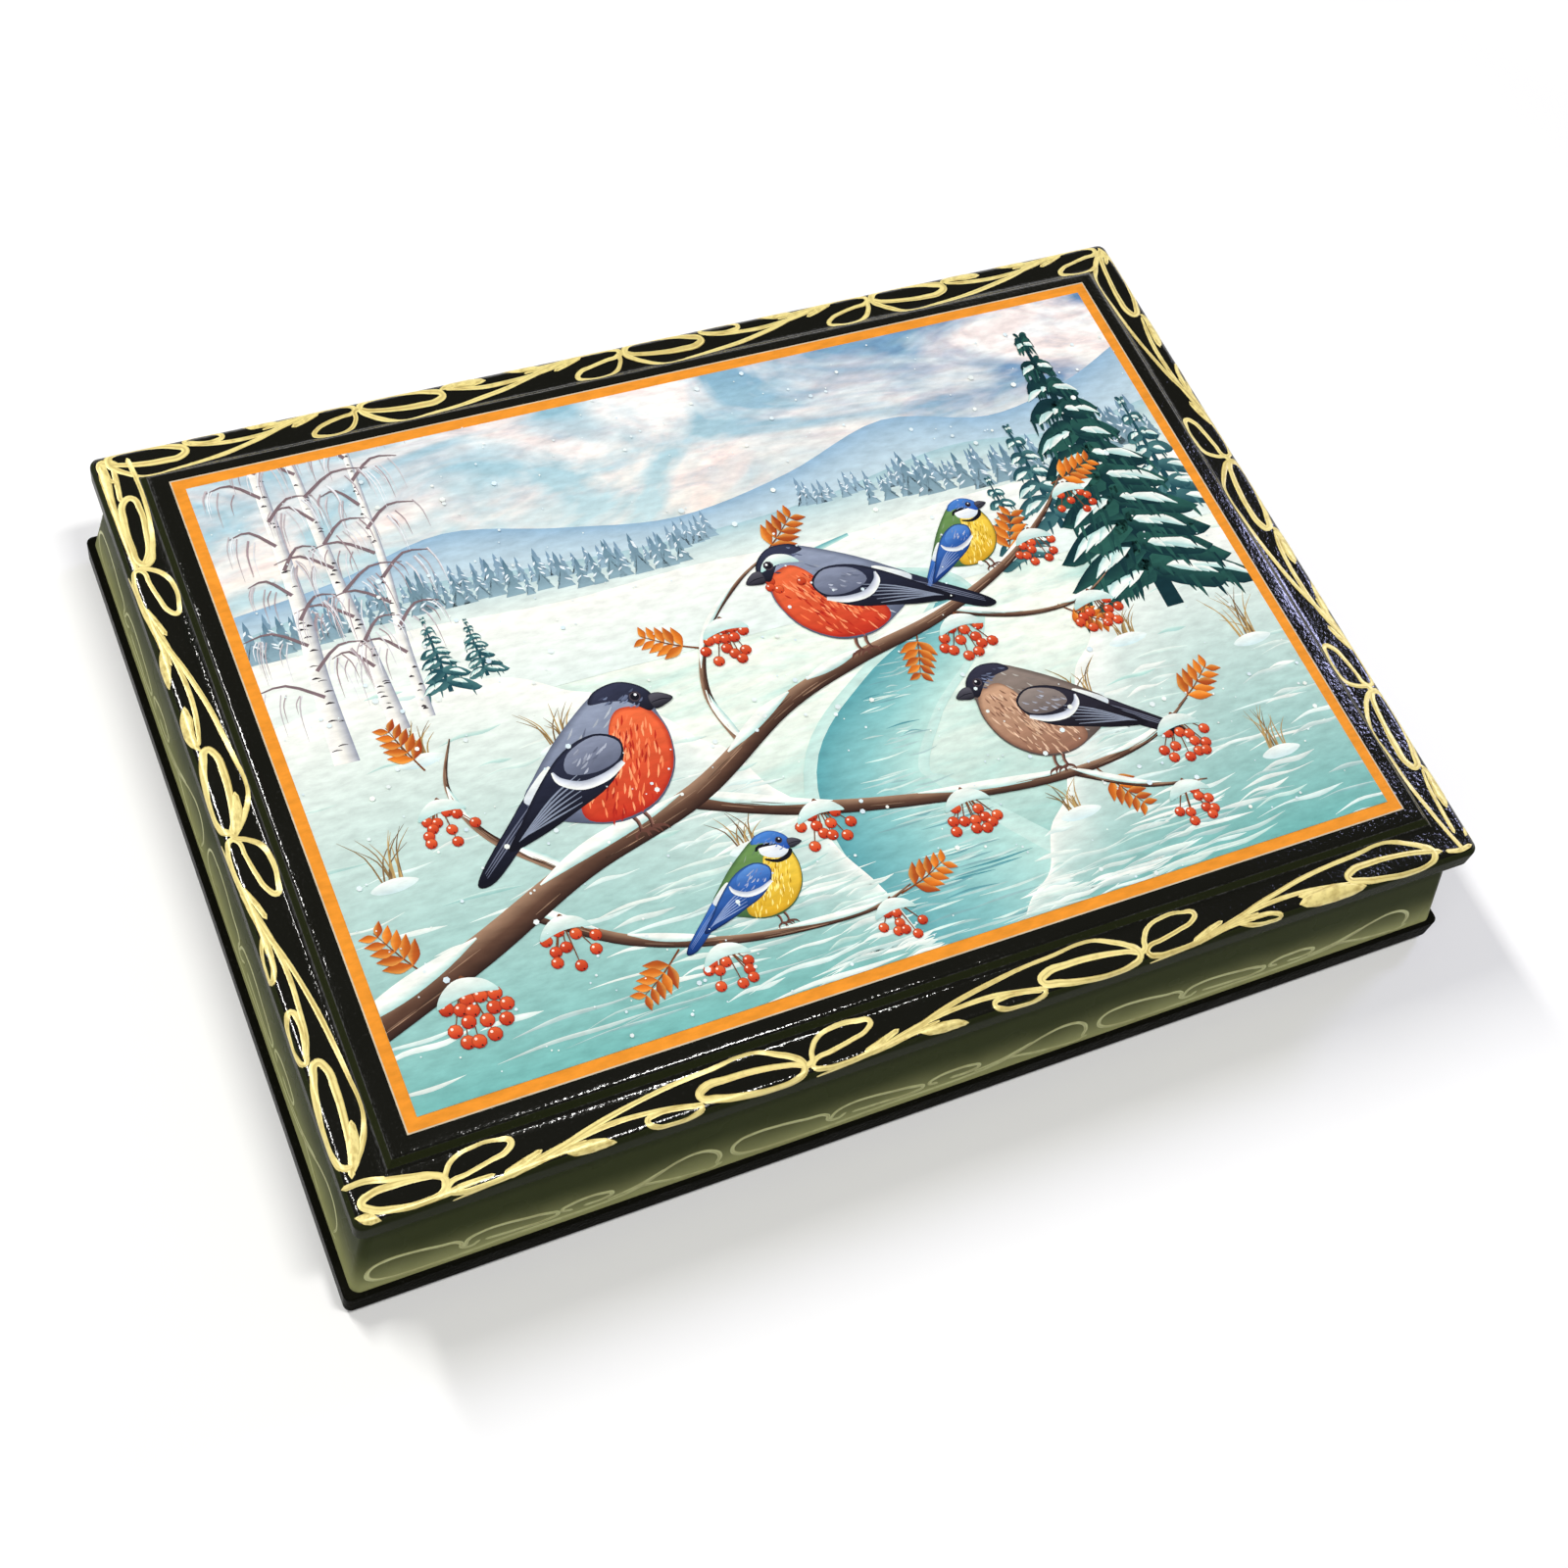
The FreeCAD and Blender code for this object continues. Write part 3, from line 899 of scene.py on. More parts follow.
def lifted(points):
    """Adds a fine tip beyond each end of a stroke, where the brush lifts off."""
    tips = []
    for end, before in ((points[0], points[1]), (points[-1], points[-2])):
        u, v = end[0] - before[0], end[1] - before[1]
        reach = TIP_REACH * end[2] / math.hypot(u, v)
        tips.append((end[0] + u * reach, end[1] + v * reach, TIP_WIDTH * end[2]))
    return [tips[0], *points, tips[1]]


def paint_strokes(name, strokes, fullness):
    """Brush strokes on a flat sheet: rows of points, each along, across and a half width."""
    data = bpy.data.curves.new(name, "CURVE")
    data.dimensions = "3D"
    data.bevel_depth = MM
    data.bevel_resolution = 2
    data.resolution_u = 5
    data.use_fill_caps = True
    for points in map(lifted, strokes):
        spline = data.splines.new("BEZIER")
        spline.bezier_points.add(len(points) - 1)
        for knot, (along, across, width) in zip(spline.bezier_points, points):
            knot.co = (along * MM, across * MM, 0)
            knot.radius = width * fullness
            knot.handle_left_type = knot.handle_right_type = "AUTO"
    curve = bpy.data.objects.new(name, data)
    bpy.context.scene.collection.objects.link(curve)
    choose(curve)
    bpy.ops.object.convert(target="MESH")
    return bpy.context.object


def within(strokes, low, high):
    """Cuts the strokes off at the two ends of a band."""
    kept = []
    for points in strokes:
        run = []
        for point in points:
            if low <= point[0] <= high:
                run.append(point)
            else:
                kept.append(run)
                run = []
        kept.append(run)
    return [run for run in kept if len(run) > 1]


def unsteady(points, hand, amount):
    """Moves the points a little, as a hand does."""
    return [(u + hand.uniform(-amount, amount), v + hand.uniform(-amount, amount) / 2,
             width * hand.uniform(0.88, 1.12)) for u, v, width in points]


def stretched(points, start, end, repeat):
    """One repeat's points, drawn out from its start to its end."""
    factor = (end - start) / repeat
    return [(start + u * factor, v, width) for u, v, width in points]


def lay_on_side(obj, side, half, place):
    """Bends a flat sheet of strokes onto one side of the box."""
    turn = Matrix.Rotation(math.radians(90 * ("front", "right", "back", "left").index(side)), 3, "Z")
    across, along = half if side in ("front", "back") else half[::-1]
    for vertex in obj.data.vertices:
        u, v, height = vertex.co
        inward, up = place(v, height * STROKE_RELIEF)
        vertex.co = turn @ Vector((u - across, inward - along, up))


class LACQUERBOX_OT_lid_scroll(bpy.types.Operator):
    """Paint the gold scroll on the band round the lid"""

    bl_idname = "lacquer_box.lid_scroll"
    bl_label = "Lid scroll"

    def execute(self, context):
        sizes = settings()
        band, arris = LID_LOW.z + sizes.lid_edge_height, sizes.lid_arris
        foot = sizes.band_width - sizes.bevel_foot
        turn = math.atan2(LID_HIGH.z - band - sizes.margin_fall, sizes.bevel_width)
        hollow = sizes.bevel_foot / math.tan(turn / 2)

        def place(v, height):
            """On the flat of the band, round its arris or up the foot of the bevel."""
            if v < arris:
                angle = (arris - v) / arris
                reach = arris + height
                return arris - reach * math.sin(angle), band - arris + reach * math.cos(angle)
            climb = max(0, v - foot)
            angle = min(climb / hollow, turn)
            rest = climb - angle * hollow
            reach = hollow - height
            return (min(v, foot) + reach * math.sin(angle) + rest * math.cos(turn),
                    band + hollow - reach * math.cos(angle) + rest * math.sin(turn))

        hand = random.Random(7)
        for side, repeats in LID_SCROLL.items():
            line, strokes = [], list(LID_CORNER_STROKES[side])
            for start, end, first, second in repeats:
                line += unsteady(stretched(MAIN_LINE, start, end, REPEAT), hand, 0.12)
                for points in STEMS + FIRST_LEAF[first] + SECOND_LEAF[second]:
                    strokes.append(unsteady(stretched(points, start, end, REPEAT), hand, 0.15))
            line.append((repeats[-1][1], 1.9, 0.35))
            far_end = 2 * LID_HALF[side in ("left", "right")] / MM - CORNER_ROOM
            strokes = within([line] + strokes, CORNER_ROOM, far_end)
            scroll = paint_strokes("gold_lid_scroll_" + side, strokes, LID_FULLNESS)
            lay_on_side(scroll, side, LID_HALF, place)
            polish(scroll, angle=60)
            finish_piece(scroll, "lid", scroll_material("gold paint", finish_colour("gold")))
        return {"FINISHED"}


class LACQUERBOX_OT_wall_scroll(bpy.types.Operator):
    """Paint the thin scroll along the foot of the walls"""

    bl_idname = "lacquer_box.wall_scroll"
    bl_label = "Wall scroll"

    def execute(self, context):
        lean = settings().wall_top_inset / (WALL_HIGH.z - WALL_LOW.z)
        slope = math.hypot(1, lean)

        def place(v, height):
            """On the leaning outside of a wall."""
            return v * lean - height / slope, WALL_LOW.z + v + height * lean / slope

        hand = random.Random(11)
        for side, repeats in WALL_SCROLL.items():
            strokes = [unsteady(stretched(points, start, end, WALL_REPEAT), hand, 0.12)
                       for start, end in repeats for points in WALL_LINES]
            scroll = paint_strokes("gold_wall_scroll_" + side, strokes, WALL_FULLNESS[side])
            lay_on_side(scroll, side, WALL_FOOT, place)
            polish(scroll, angle=60)
            # The walls' scroll is thin gold paint with an olive cast that is a painted reflection
            finish_piece(scroll, "box",
                         scroll_material("worn gold paint", finish_colour("worn_gold")))
        return {"FINISHED"}


# Picture: a generic winter river with birds, painted as flat patches and strokes of ink on the
# sheet. All its places are in millimetres from the middle of the sheet.


def ink(red, green, blue):
    """A colour given as 0 to 255 in the usual way, made linear."""
    return tuple(((c / 255 + 0.055) / 1.055) ** 2.4 for c in (red, green, blue))


def blend(a, b, share):
    """A colour part of the way from one to another."""
    share = min(max(share, 0), 1)
    return tuple(p + (q - p) * share for p, q in zip(a, b))


SNOW = ink(247, 250, 240)
SNOW_SHADE = ink(168, 212, 206)
TEAL = ink(90, 158, 162)
HAZE = ink(176, 204, 210)
BARK = ink(98, 70, 56)
BARK_LIGHT = ink(168, 134, 108)
BARK_DARK = ink(44, 30, 28)
BERRY = ink(214, 52, 30)
BERRY_LIGHT = ink(250, 138, 78)
BERRY_DARK = ink(122, 22, 22)
NEEDLES = ink(44, 92, 82)
NEEDLES_DARK = ink(20, 50, 56)
BLACK = ink(26, 26, 34)

# The inks lie just above the sheet, each this thick
PAINTING_BASE = 0.05 * MM
INK_THICKNESS = 0.003 * MM


def flowing(points, closed, steps):
    """Points on a smooth line through the given ones, which may hold any number of values."""
    count = len(points)
    line = []
    for i in range(count if closed else count - 1):
        if closed:
            near = [points[(i + k) % count] for k in (-1, 0, 1, 2)]
        else:
            near = [points[min(max(i + k, 0), count - 1)] for k in (-1, 0, 1, 2)]
        for step in range(steps):
            t = step / steps
            line.append(tuple(
                q + 0.5 * t * (r - p + t * (2 * p - 5 * q + 4 * r - s + t * (3 * (q - r) + s - p)))
                for p, q, r, s in zip(*near)))
    if not closed:
        line.append(tuple(points[-1]))
    return line


def centre_of(line):
    """The mean of the points of a line."""
    return [sum(values) / len(line) for values in zip(*line)]


def circle(x, y, radius, sides):
    """Points round a middle."""
    angles = [2 * math.pi * k / sides for k in range(sides)]
    return [(x + radius * math.cos(a), y + radius * math.sin(a)) for a in angles]


class Painting:
    """Patches and strokes of ink, laid over one another in thin levels.

    A patch starts a new level over the strokes before it. Strokes lie in small steps within their
    level and tilt a little, so that no two of them share a plane.
    """

    LEVEL = 0.004
    # How much of a level a patch takes on a patch
    PATCH_SHARE = 0.15
    STEP = 0.0002
    STEPS = 16
    TILT = 0.0005
    # The golden section spreads the tilts evenly
    GOLDEN = 0.618
    THINNEST = 0.02

    def __init__(self, level, seed):
        """Starts a painting some levels above the sheet, by a hand of its own."""
        self.hand = random.Random(seed)
        self.mesh = bmesh.new()
        self.inks = self.mesh.verts.layers.float_color.new("paint")
        self.start = self.base = level * self.LEVEL
        self.strokes = 0
        self.stand()

    def stand(self, x=0, y=0, size=1, facing=1, turn=0):
        """Where the next patches go, how large, to which side they face and how far they are turned."""
        self.place = (Matrix.Translation((x, y, 0)) @ Matrix.Rotation(math.radians(turn), 4, "Z")
                      @ Matrix.Diagonal((size * facing, size, 1, 1)))

    def tone(self, a, b):
        """A colour somewhere between two."""
        return blend(a, b, self.hand.random())

    def level_up(self):
        """Goes on one level higher."""
        self.base += self.LEVEL
        self.strokes = 0

    def mark(self):
        """Starts a part that doesn't hide what is laid from here on."""
        self.start = self.base

    def restart(self):
        """Goes back down to where the part started."""
        self.base, self.strokes = self.start, 0

    def point(self, x, y, height, colour):
        """A point of the mesh, in its ink."""
        spot = self.place @ Vector((x, y, 0))
        spot.z = self.base + height
        vert = self.mesh.verts.new(spot)
        vert[self.inks] = (*colour, 1)
        return vert

    def face(self, corners):
        """A face that looks up."""
        face = self.mesh.faces.new(corners)
        face.normal_update()
        if face.normal.z < 0:
            face.normal_flip()

    def patch(self, outline, high, low, rim=None, rings=(1, 0.86, 0.62, 0.34), steps=4):
        """A closed patch round its middle, shaded from its top to its foot and at its rim."""
        self.base += self.LEVEL if self.strokes else self.PATCH_SHARE * self.LEVEL
        self.strokes = 0
        line = flowing(outline, True, steps)
        cx, cy = centre_of(line)
        bottom, top = min(p[1] for p in line), max(p[1] for p in line)
        rows = []
        for ring in rings:
            row = []
            for x, y in line:
                x, y = cx + (x - cx) * ring, cy + (y - cy) * ring
                colour = blend(low, high, (y - bottom) / (top - bottom))
                if rim and ring > 0.9:
                    colour = blend(colour, rim, 0.75)
                row.append(self.point(x, y, self.STEP * (1 - ring), colour))
            rows.append(row)
        centre = self.point(cx, cy, self.STEP, blend(low, high, (cy - bottom) / (top - bottom)))
        for outer, inner in zip(rows, rows[1:]):
            for i in range(len(line)):
                self.face((outer[i - 1], outer[i], inner[i], inner[i - 1]))
        for i in range(len(line)):
            self.face((rows[-1][i - 1], rows[-1][i], centre))

    def stroke(self, points, colour, lit=None, shade=None, steps=4):
        """A brush stroke along points with half widths, lit on its left and shaded on its right."""
        self.strokes += 1
        line = flowing(points, False, steps)
        height = self.STEP * (2 + self.strokes % self.STEPS)
        tilt = self.TILT * (0.3 + (self.strokes * self.GOLDEN) % 0.7) / len(line)
        row = None
        for i, (x, y, width) in enumerate(line):
            before, after = line[max(i - 1, 0)], line[min(i + 1, len(line) - 1)]
            run = Vector((after[0] - before[0], after[1] - before[1]))
            run = run.normalized() if run.length else Vector((1, 0))
            width = max(width, self.THINNEST)
            new = [self.point(x - run.y * width * side, y + run.x * width * side, height + tilt * i, tone)
                   for side, tone in ((1, lit or colour), (0, colour), (-1, shade or colour))]
            if row:
                self.face((row[0], row[1], new[1], new[0]))
                self.face((row[1], row[2], new[2], new[1]))
            row = new

    def strip(self, skyline, foot, high, low, rows=5):
        """Ground under a skyline, shaded down to a level foot."""
        self.level_up()
        line = flowing(skyline, False, 6)
        above = None
        for row in range(rows + 1):
            share = row / rows
            new = [self.point(x, y + (foot - y) * share, 0, blend(high, low, share ** 0.7)) for x, y in line]
            if above:
                for i in range(1, len(line)):
                    self.face((above[i - 1], above[i], new[i], new[i - 1]))
            above = new

    def dot(self, x, y, radius, colour, rim=None, sides=8):
        """A round patch."""
        self.patch(circle(x, y, radius, sides), colour, colour, rim, (1, 0.6), 1)

    def finish(self, name):
        """Trims the painting to the picture, gives it its thickness and lays it on the lid."""
        data = bpy.data.meshes.new(name)
        half = picture_half()
        for normal in ((-1, 0, 0), (1, 0, 0), (0, -1, 0), (0, 1, 0)):
            edge = (normal[0] * half[0], normal[1] * half[1], 0)
            everything = self.mesh.verts[:] + self.mesh.edges[:] + self.mesh.faces[:]
            bmesh.ops.bisect_plane(self.mesh, geom=everything, clear_outer=True, plane_no=normal,
                                   plane_co=edge, dist=1e-5)
        self.mesh.to_mesh(data)
        self.mesh.free()
        piece = bpy.data.objects.new(name, data)
        bpy.context.scene.collection.objects.link(piece)
        piece.scale = (MM, MM, MM)
        piece.location.z = PRINT_LOW.z + PAINTING_BASE
        settle(piece)
        modifier = piece.modifiers.new("ink thickness", "SOLIDIFY")
        modifier.thickness = INK_THICKNESS
        modifier.offset = -1
        bpy.ops.object.modifier_apply(modifier=modifier.name)
        finish_piece(piece, "lid", paint_material("varnished print"))


def picture_half():
    """Half the size of the picture inside its border, in millimetres."""
    return [side / MM for side in grown(PRINT_HALF, -settings().border_width)]


def fir(art, x, y, height, spread, tiers, boughs, dark, green):
    """A spruce, from its lowest boughs to its top, with snow lying along them."""
    hand = art.hand
    art.restart()
    art.stroke(((x, y - 0.03 * height, 0.028 * height), (x, y + 0.5 * height, 0.018 * height),
                (x, y + height, 0.004 * height)), dark)
    for tier in range(tiers):
        art.level_up()
        climb = tier / (tiers - 1)
        level = y + height * (0.09 + 0.87 * climb)
        reach = spread * (1 - climb) ** 0.9 + 0.025 * height
        width = 0.5 * height / tiers * (1 - 0.5 * climb)
        for bough in range(boughs):
            for side in (-1, 1):
                out = side * reach * (1 - bough / (boughs + 0.4)) * hand.uniform(0.82, 1.1)
                drop = abs(out) * hand.uniform(0.34, 0.5)
                up = hand.uniform(0, 0.04) * height
                points = ((x, level + up, width * 0.5), (x + out * 0.4, level + up - drop * 0.25, width),
                          (x + out * 0.8, level + up - drop * 0.8, width * 0.7),
                          (x + out, level + up - drop * 0.9, 0.02))
                tone = art.tone(green, dark)
                art.stroke(points, tone, blend(tone, green, 0.5), dark, 3)
                for _ in range(3 if boughs > 2 else 1):
                    share = hand.uniform(0.3, 0.95)
                    tx, ty = x + out * share, level + up - drop * share * 0.95
                    fall = hand.uniform(0.7, 1.4) * width
                    twig = ((tx, ty, 0.16 * width + 0.05), (tx + side * 0.2 * width, ty - fall, 0.12 * width),
                            (tx + side * 0.3 * width, ty - fall * 1.5, 0.02))
                    art.stroke(twig, art.tone(dark, green), steps=2)
        art.level_up()
        for bough in range(boughs + 1):
            for side in (-1, 1):
                out = side * reach * hand.uniform(0.25, 1.0)
                near = 0.35 * out
                drop = abs(out) * 0.42
                art.stroke(((x + near, level - drop * 0.2 + width * 0.5, 0.03),
                            (x + near + (out - near) * 0.5, level - drop * 0.42 + width * 0.55, width * 0.34),
                            (x + out, level - drop * 0.9 + width * 0.3, 0.05)),
                           blend(SNOW, SNOW_SHADE, hand.random() * 0.6), SNOW, SNOW_SHADE, 3)


def far_fir(art, x, y, height, dark, light):
    """A small spruce far off, as one ragged patch."""
    hand = art.hand
    art.restart()
    half = height * hand.uniform(0.2, 0.27)
    left, right = [], []
    for step in range(5):
        climb = step / 5
        for edge, wide in ((left, -half * (1 - climb)), (right, half * (1 - climb))):
            edge.append((x + wide * hand.uniform(0.85, 1.15), y + height * (climb + 0.02)))
            edge.append((x + wide * 0.55, y + height * (climb + 0.11)))
    art.patch(left + [(x, y + height)] + right[::-1], dark, light, None, (1, 0.5), 1)
    for _ in range(3):
        climb = hand.uniform(0.1, 0.75)
        wide = half * (1 - climb) * 0.9
        side = hand.choice((-1, 1))
        art.stroke(((x + side * 0.1 * wide, y + height * (climb + 0.1), 0.02),
                    (x + side * 0.6 * wide, y + height * (climb + 0.05), 0.02 * height + 0.03),
                    (x + side * wide, y + height * climb, 0.02)), ink(232, 241, 243), steps=2)


class LACQUERBOX_OT_painted_distance(bpy.types.Operator):
    """Paint the hills, the woods and the frozen river"""

    bl_idname = "lacquer_box.painted_distance"
    bl_label = "Painted distance"

    def execute(self, context):
        art = Painting(0, 21)
        hand = art.hand
        hills = ((-78, 29), (-62, 31), (-44, 35), (-26, 31), (-8, 28), (12, 31), (32, 37), (50, 33),
                 (66, 36), (78, 41))
        art.strip(hills, 20, ink(146, 180, 204), ink(214, 230, 230))
        art.level_up()
        art.strip(((-78, 25), (-58, 27.5), (-36, 25.5), (-12, 24), (14, 25), (40, 29), (60, 27), (78, 29)),
                  16, ink(166, 200, 206), ink(236, 243, 232))
        art.level_up()
        for row, (base, low, high, tone) in enumerate(((23.0, 3.0, 6.0, 0.0), (20.6, 4.0, 8.0, 0.5))):
            art.mark()
            x = -77.0
            while x < 77:
                open_field = -8 < x < 22 if row else -2 < x < 12
                if not open_field:
                    tall = hand.uniform(low, high) * (1.25 if x > 30 else 1)
                    dark = blend(ink(122, 152, 176), ink(66, 106, 122), tone + 0.3 * hand.random())
                    y = base + 1.3 * math.sin(x / 11) + hand.uniform(-0.4, 0.4)
                    far_fir(art, x, y, tall, dark, blend(dark, HAZE, 0.5))
                x += hand.uniform(0.9, 2.4) * (1 + 0.4 * row)
            art.restart()
            for _ in range(3):
                art.level_up()
        art.strip(((-78, 20), (-52, 19.5), (-30, 18), (-8, 18.6), (16, 17.2), (40, 19), (78, 18.5)), 4,
                  ink(250, 250, 240), ink(228, 240, 232))
        art.level_up()
        river = ((17, 17.2, 0.25), (9, 15.4, 0.5), (3, 13, 0.9), (6, 10.4, 1.3), (18, 7.4, 2.0),
                 (28, 2.5, 3.0), (25, -4.5, 4.2), (12, -13, 5.8), (2, -24, 8.0), (4, -38, 11), (14, -58, 15))
        shore = ink(194, 226, 216)
        art.stroke([(x, y, w * 1.25) for x, y, w in river], ink(224, 240, 230), shore, shore, 8)
        art.level_up()
        art.stroke(river, ink(138, 196, 194), ink(186, 224, 214), ink(92, 162, 168), 8)
        art.level_up()
        for _ in range(150):
            y = -53 + 70 * hand.random() ** 1.3
            middle = 8 + 18 * math.exp(-((y - 1) / 9) ** 2)
            reach = max(0.6, 3.4 - 0.2 * y)
            x = middle + hand.uniform(-0.6, 0.6) * reach
            long = reach * hand.uniform(0.15, 0.5)
            art.stroke(((x - long, y, 0.02), (x, y + hand.uniform(-0.3, 0.3), 0.05 + 0.012 * reach),
                        (x + long, y + hand.uniform(-0.4, 0.4), 0.02)),
                       art.tone(ink(222, 242, 232), ink(80, 150, 158)), steps=3)
        art.finish("painted_distance")
        return {"FINISHED"}


def birch(art, x, foot, lean, width):
    """A birch with its marked bark, its branches and their frosted twigs."""
    hand = art.hand
    art.restart()
    trunk = [(x, foot - 1.5, width * 1.25), (x + 0.2 * lean, foot + 12, width),
             (x + 0.7 * lean, foot + 28, width * 0.8), (x + lean, foot + 58, width * 0.55)]
    art.stroke(trunk, ink(240, 238, 228), ink(252, 250, 244), ink(146, 152, 168), 8)
    for _ in range(26):
        share = hand.random()
        y = foot + 50 * share
        middle = x + lean * share ** 1.2
        wide = width * (1.1 - 0.5 * share)
        start = middle + hand.uniform(-1, 0.3) * wide
        art.stroke(((start, y, 0.05), (start + 0.4 * wide, y + 0.1, hand.uniform(0.08, 0.22)),
                    (start + wide * 0.9, y - 0.1, 0.03)), ink(58, 50, 54), steps=2)
    art.level_up()
    for branch in range(11):
        y = foot + 10 + 4.6 * branch
        side = 1 if branch % 2 else -1
        out = side * hand.uniform(5, 11)
        root = x + lean * (y - foot) / 58
        art.stroke(((root, y, 0.3), (root + out * 0.5, y + 3.5, 0.2), (root + out, y + 3, 0.06)),
                   ink(128, 108, 112), steps=3)
        for _ in range(7):
            share = hand.uniform(0.3, 1)
            tx, ty = root + out * share, y + 3.6 * share
            fall = hand.uniform(3, 8)
            art.stroke(((tx, ty, 0.1), (tx + side * 0.9, ty - fall * 0.4, 0.09),
                        (tx + side * 1.1, ty - fall, 0.02)),
                       art.tone(ink(158, 132, 136), ink(240, 244, 246)), steps=3)


def grass(art, x, y, tall):
    """A tuft of dry grass that stands out of a small mound of snow."""
    hand = art.hand
    art.restart()
    for _ in range(12):
        bend = hand.uniform(-0.6, 0.6) * tall
        root = x + hand.uniform(-1.6, 1.6)
        high = tall * hand.uniform(0.5, 1.1)
        blade = ((root, y, 0.14), (root + bend * 0.3, y + high * 0.6, 0.1),
                 (root + bend, y + high, 0.02))
        art.stroke(blade, art.tone(ink(196, 164, 104), ink(112, 88, 62)), steps=3)
    mound = ((x - 3.4, y - 0.3), (x - 1.4, y + 0.7), (x + 1.2, y + 0.8), (x + 3.6, y - 0.2),
             (x + 1.4, y - 1.2), (x - 1.8, y - 1.2))
    art.patch(mound, SNOW, ink(206, 230, 230), None, (1, 0.5))


class LACQUERBOX_OT_painted_banks(bpy.types.Operator):
    """Paint the snowy banks with their shadows, grass and trees"""

    bl_idname = "lacquer_box.painted_banks"
    bl_label = "Painted banks"

    LEFT_BANK = ((-78, 9), (-64, 11), (-50, 9), (-42, 7), (-36, 3), (-32, 1), (-28, -3.5), (-24, -5.5),
                 (-20, -11), (-16.5, -14), (-13.5, -21), (-10, -26), (-7.5, -35), (-4, -43), (-1, -56))
    RIGHT_BANK = ((12, -56), (16, -51), (21, -47.5), (24.5, -41), (29.5, -36.5), (33, -29), (37.5, -24.5),
                  (41, -17), (46, -12.5), (50, -6), (56, -3), (62, 1), (70, 2), (78, 1))
    GRASS = ((-40, -6, 7), (-31, -13, 6), (-60, -2, 6), (40, -22, 7), (52, -14, 6), (72, -20, 9),
             (66, -40, 8), (-70, -20, 8), (30, -40, 6), (-20, -30, 6))

    def drift(self, art, skyline, foot, count, low_tone):
        """A bank of snow with streaks of shadow across it."""
        hand = art.hand
        art.strip(skyline, foot, ink(252, 252, 242), low_tone, 8)
        art.level_up()
        line = flowing(skyline, False, 6)
        for _ in range(count):
            x, top = hand.choice(line)
            depth = hand.random() ** 0.8
            y = top + (foot - top) * depth * 0.96 - 0.8
            long = hand.uniform(2.5, 8) * (0.5 + depth)
            tilt = hand.uniform(-0.05, 0.16) * long
            tone = art.tone(SNOW, ink(188, 226, 214))
            tone = blend(tone, TEAL, depth * hand.uniform(0.0, 0.75))
            if hand.random() < 0.42:
                tone = art.tone(SNOW, ink(214, 236, 230))
            art.stroke(((x - long, y - tilt, 0.02), (x - long * 0.3, y + 0.3, hand.uniform(0.12, 0.4)),
                        (x + long * 0.4, y + 0.1, hand.uniform(0.12, 0.45)), (x + long, y + tilt, 0.02)),
                       tone, blend(tone, SNOW, 0.5), blend(tone, TEAL, 0.2), 4)

    def execute(self, context):
        art = Painting(13, 33)
        self.drift(art, self.LEFT_BANK, -56, 170, ink(112, 182, 176))
        art.level_up()
        self.drift(art, self.RIGHT_BANK, -56, 150, ink(106, 178, 172))
        art.level_up()
        art.mark()
        for x, y, tall in ((52, 9, 21), (74, 6, 24), (44, 4, 17), (-46, 9, 10), (-52, 8, 13)):
            fir(art, x, y, tall, tall * 0.3, 7, 2, ink(34, 74, 84), ink(80, 128, 128))
        fir(art, 63, -9, 56, 15, 11, 4, NEEDLES_DARK, NEEDLES)
        for x, foot, lean, width in ((-70, 2, 2.5, 1.5), (-61, 5, -1.0, 1.15), (-56.5, 6, 3.5, 0.8)):
            birch(art, x, foot, lean, width)
        for x, y, tall in self.GRASS:
            grass(art, x, y, tall)
        art.finish("painted_banks")
        return {"FINISHED"}


def snowy_branch(art, points):
    """A branch with its bark lit from above and snow lying on it."""
    hand = art.hand
    art.level_up()
    art.stroke(points, BARK, BARK_LIGHT, BARK_DARK, 8)
    line = flowing(points, False, 8)
    for _ in range(int(len(line) * 0.8)):
        i = hand.randrange(len(line) - 3)
        x, y, width = line[i]
        ex, ey, _ = line[i + 2]
        off = hand.uniform(-0.6, 0.6) * width
        art.stroke(((x, y + off, 0.03), ((x + ex) / 2, (y + ey) / 2 + off, 0.08), (ex, ey + off, 0.02)),
                   art.tone(BARK_DARK, BARK_LIGHT), steps=2)
    start = 0
    while start < len(line) - 6:
        steps = min(hand.randrange(6, 13), len(line) - start - 1)
        run = line[start:start + steps + 1:2]
        if len(run) > 3:
            last = len(run) - 1
            cap = [(x, y + w * 0.75 + 0.25, (0.35 + 0.45 * w) * math.sin(math.pi * (k + 0.15) / (last + 0.3)))
                   for k, (x, y, w) in enumerate(run)]
            art.stroke(cap, SNOW, SNOW, SNOW_SHADE, 3)
        start += steps + hand.randrange(1, 5)


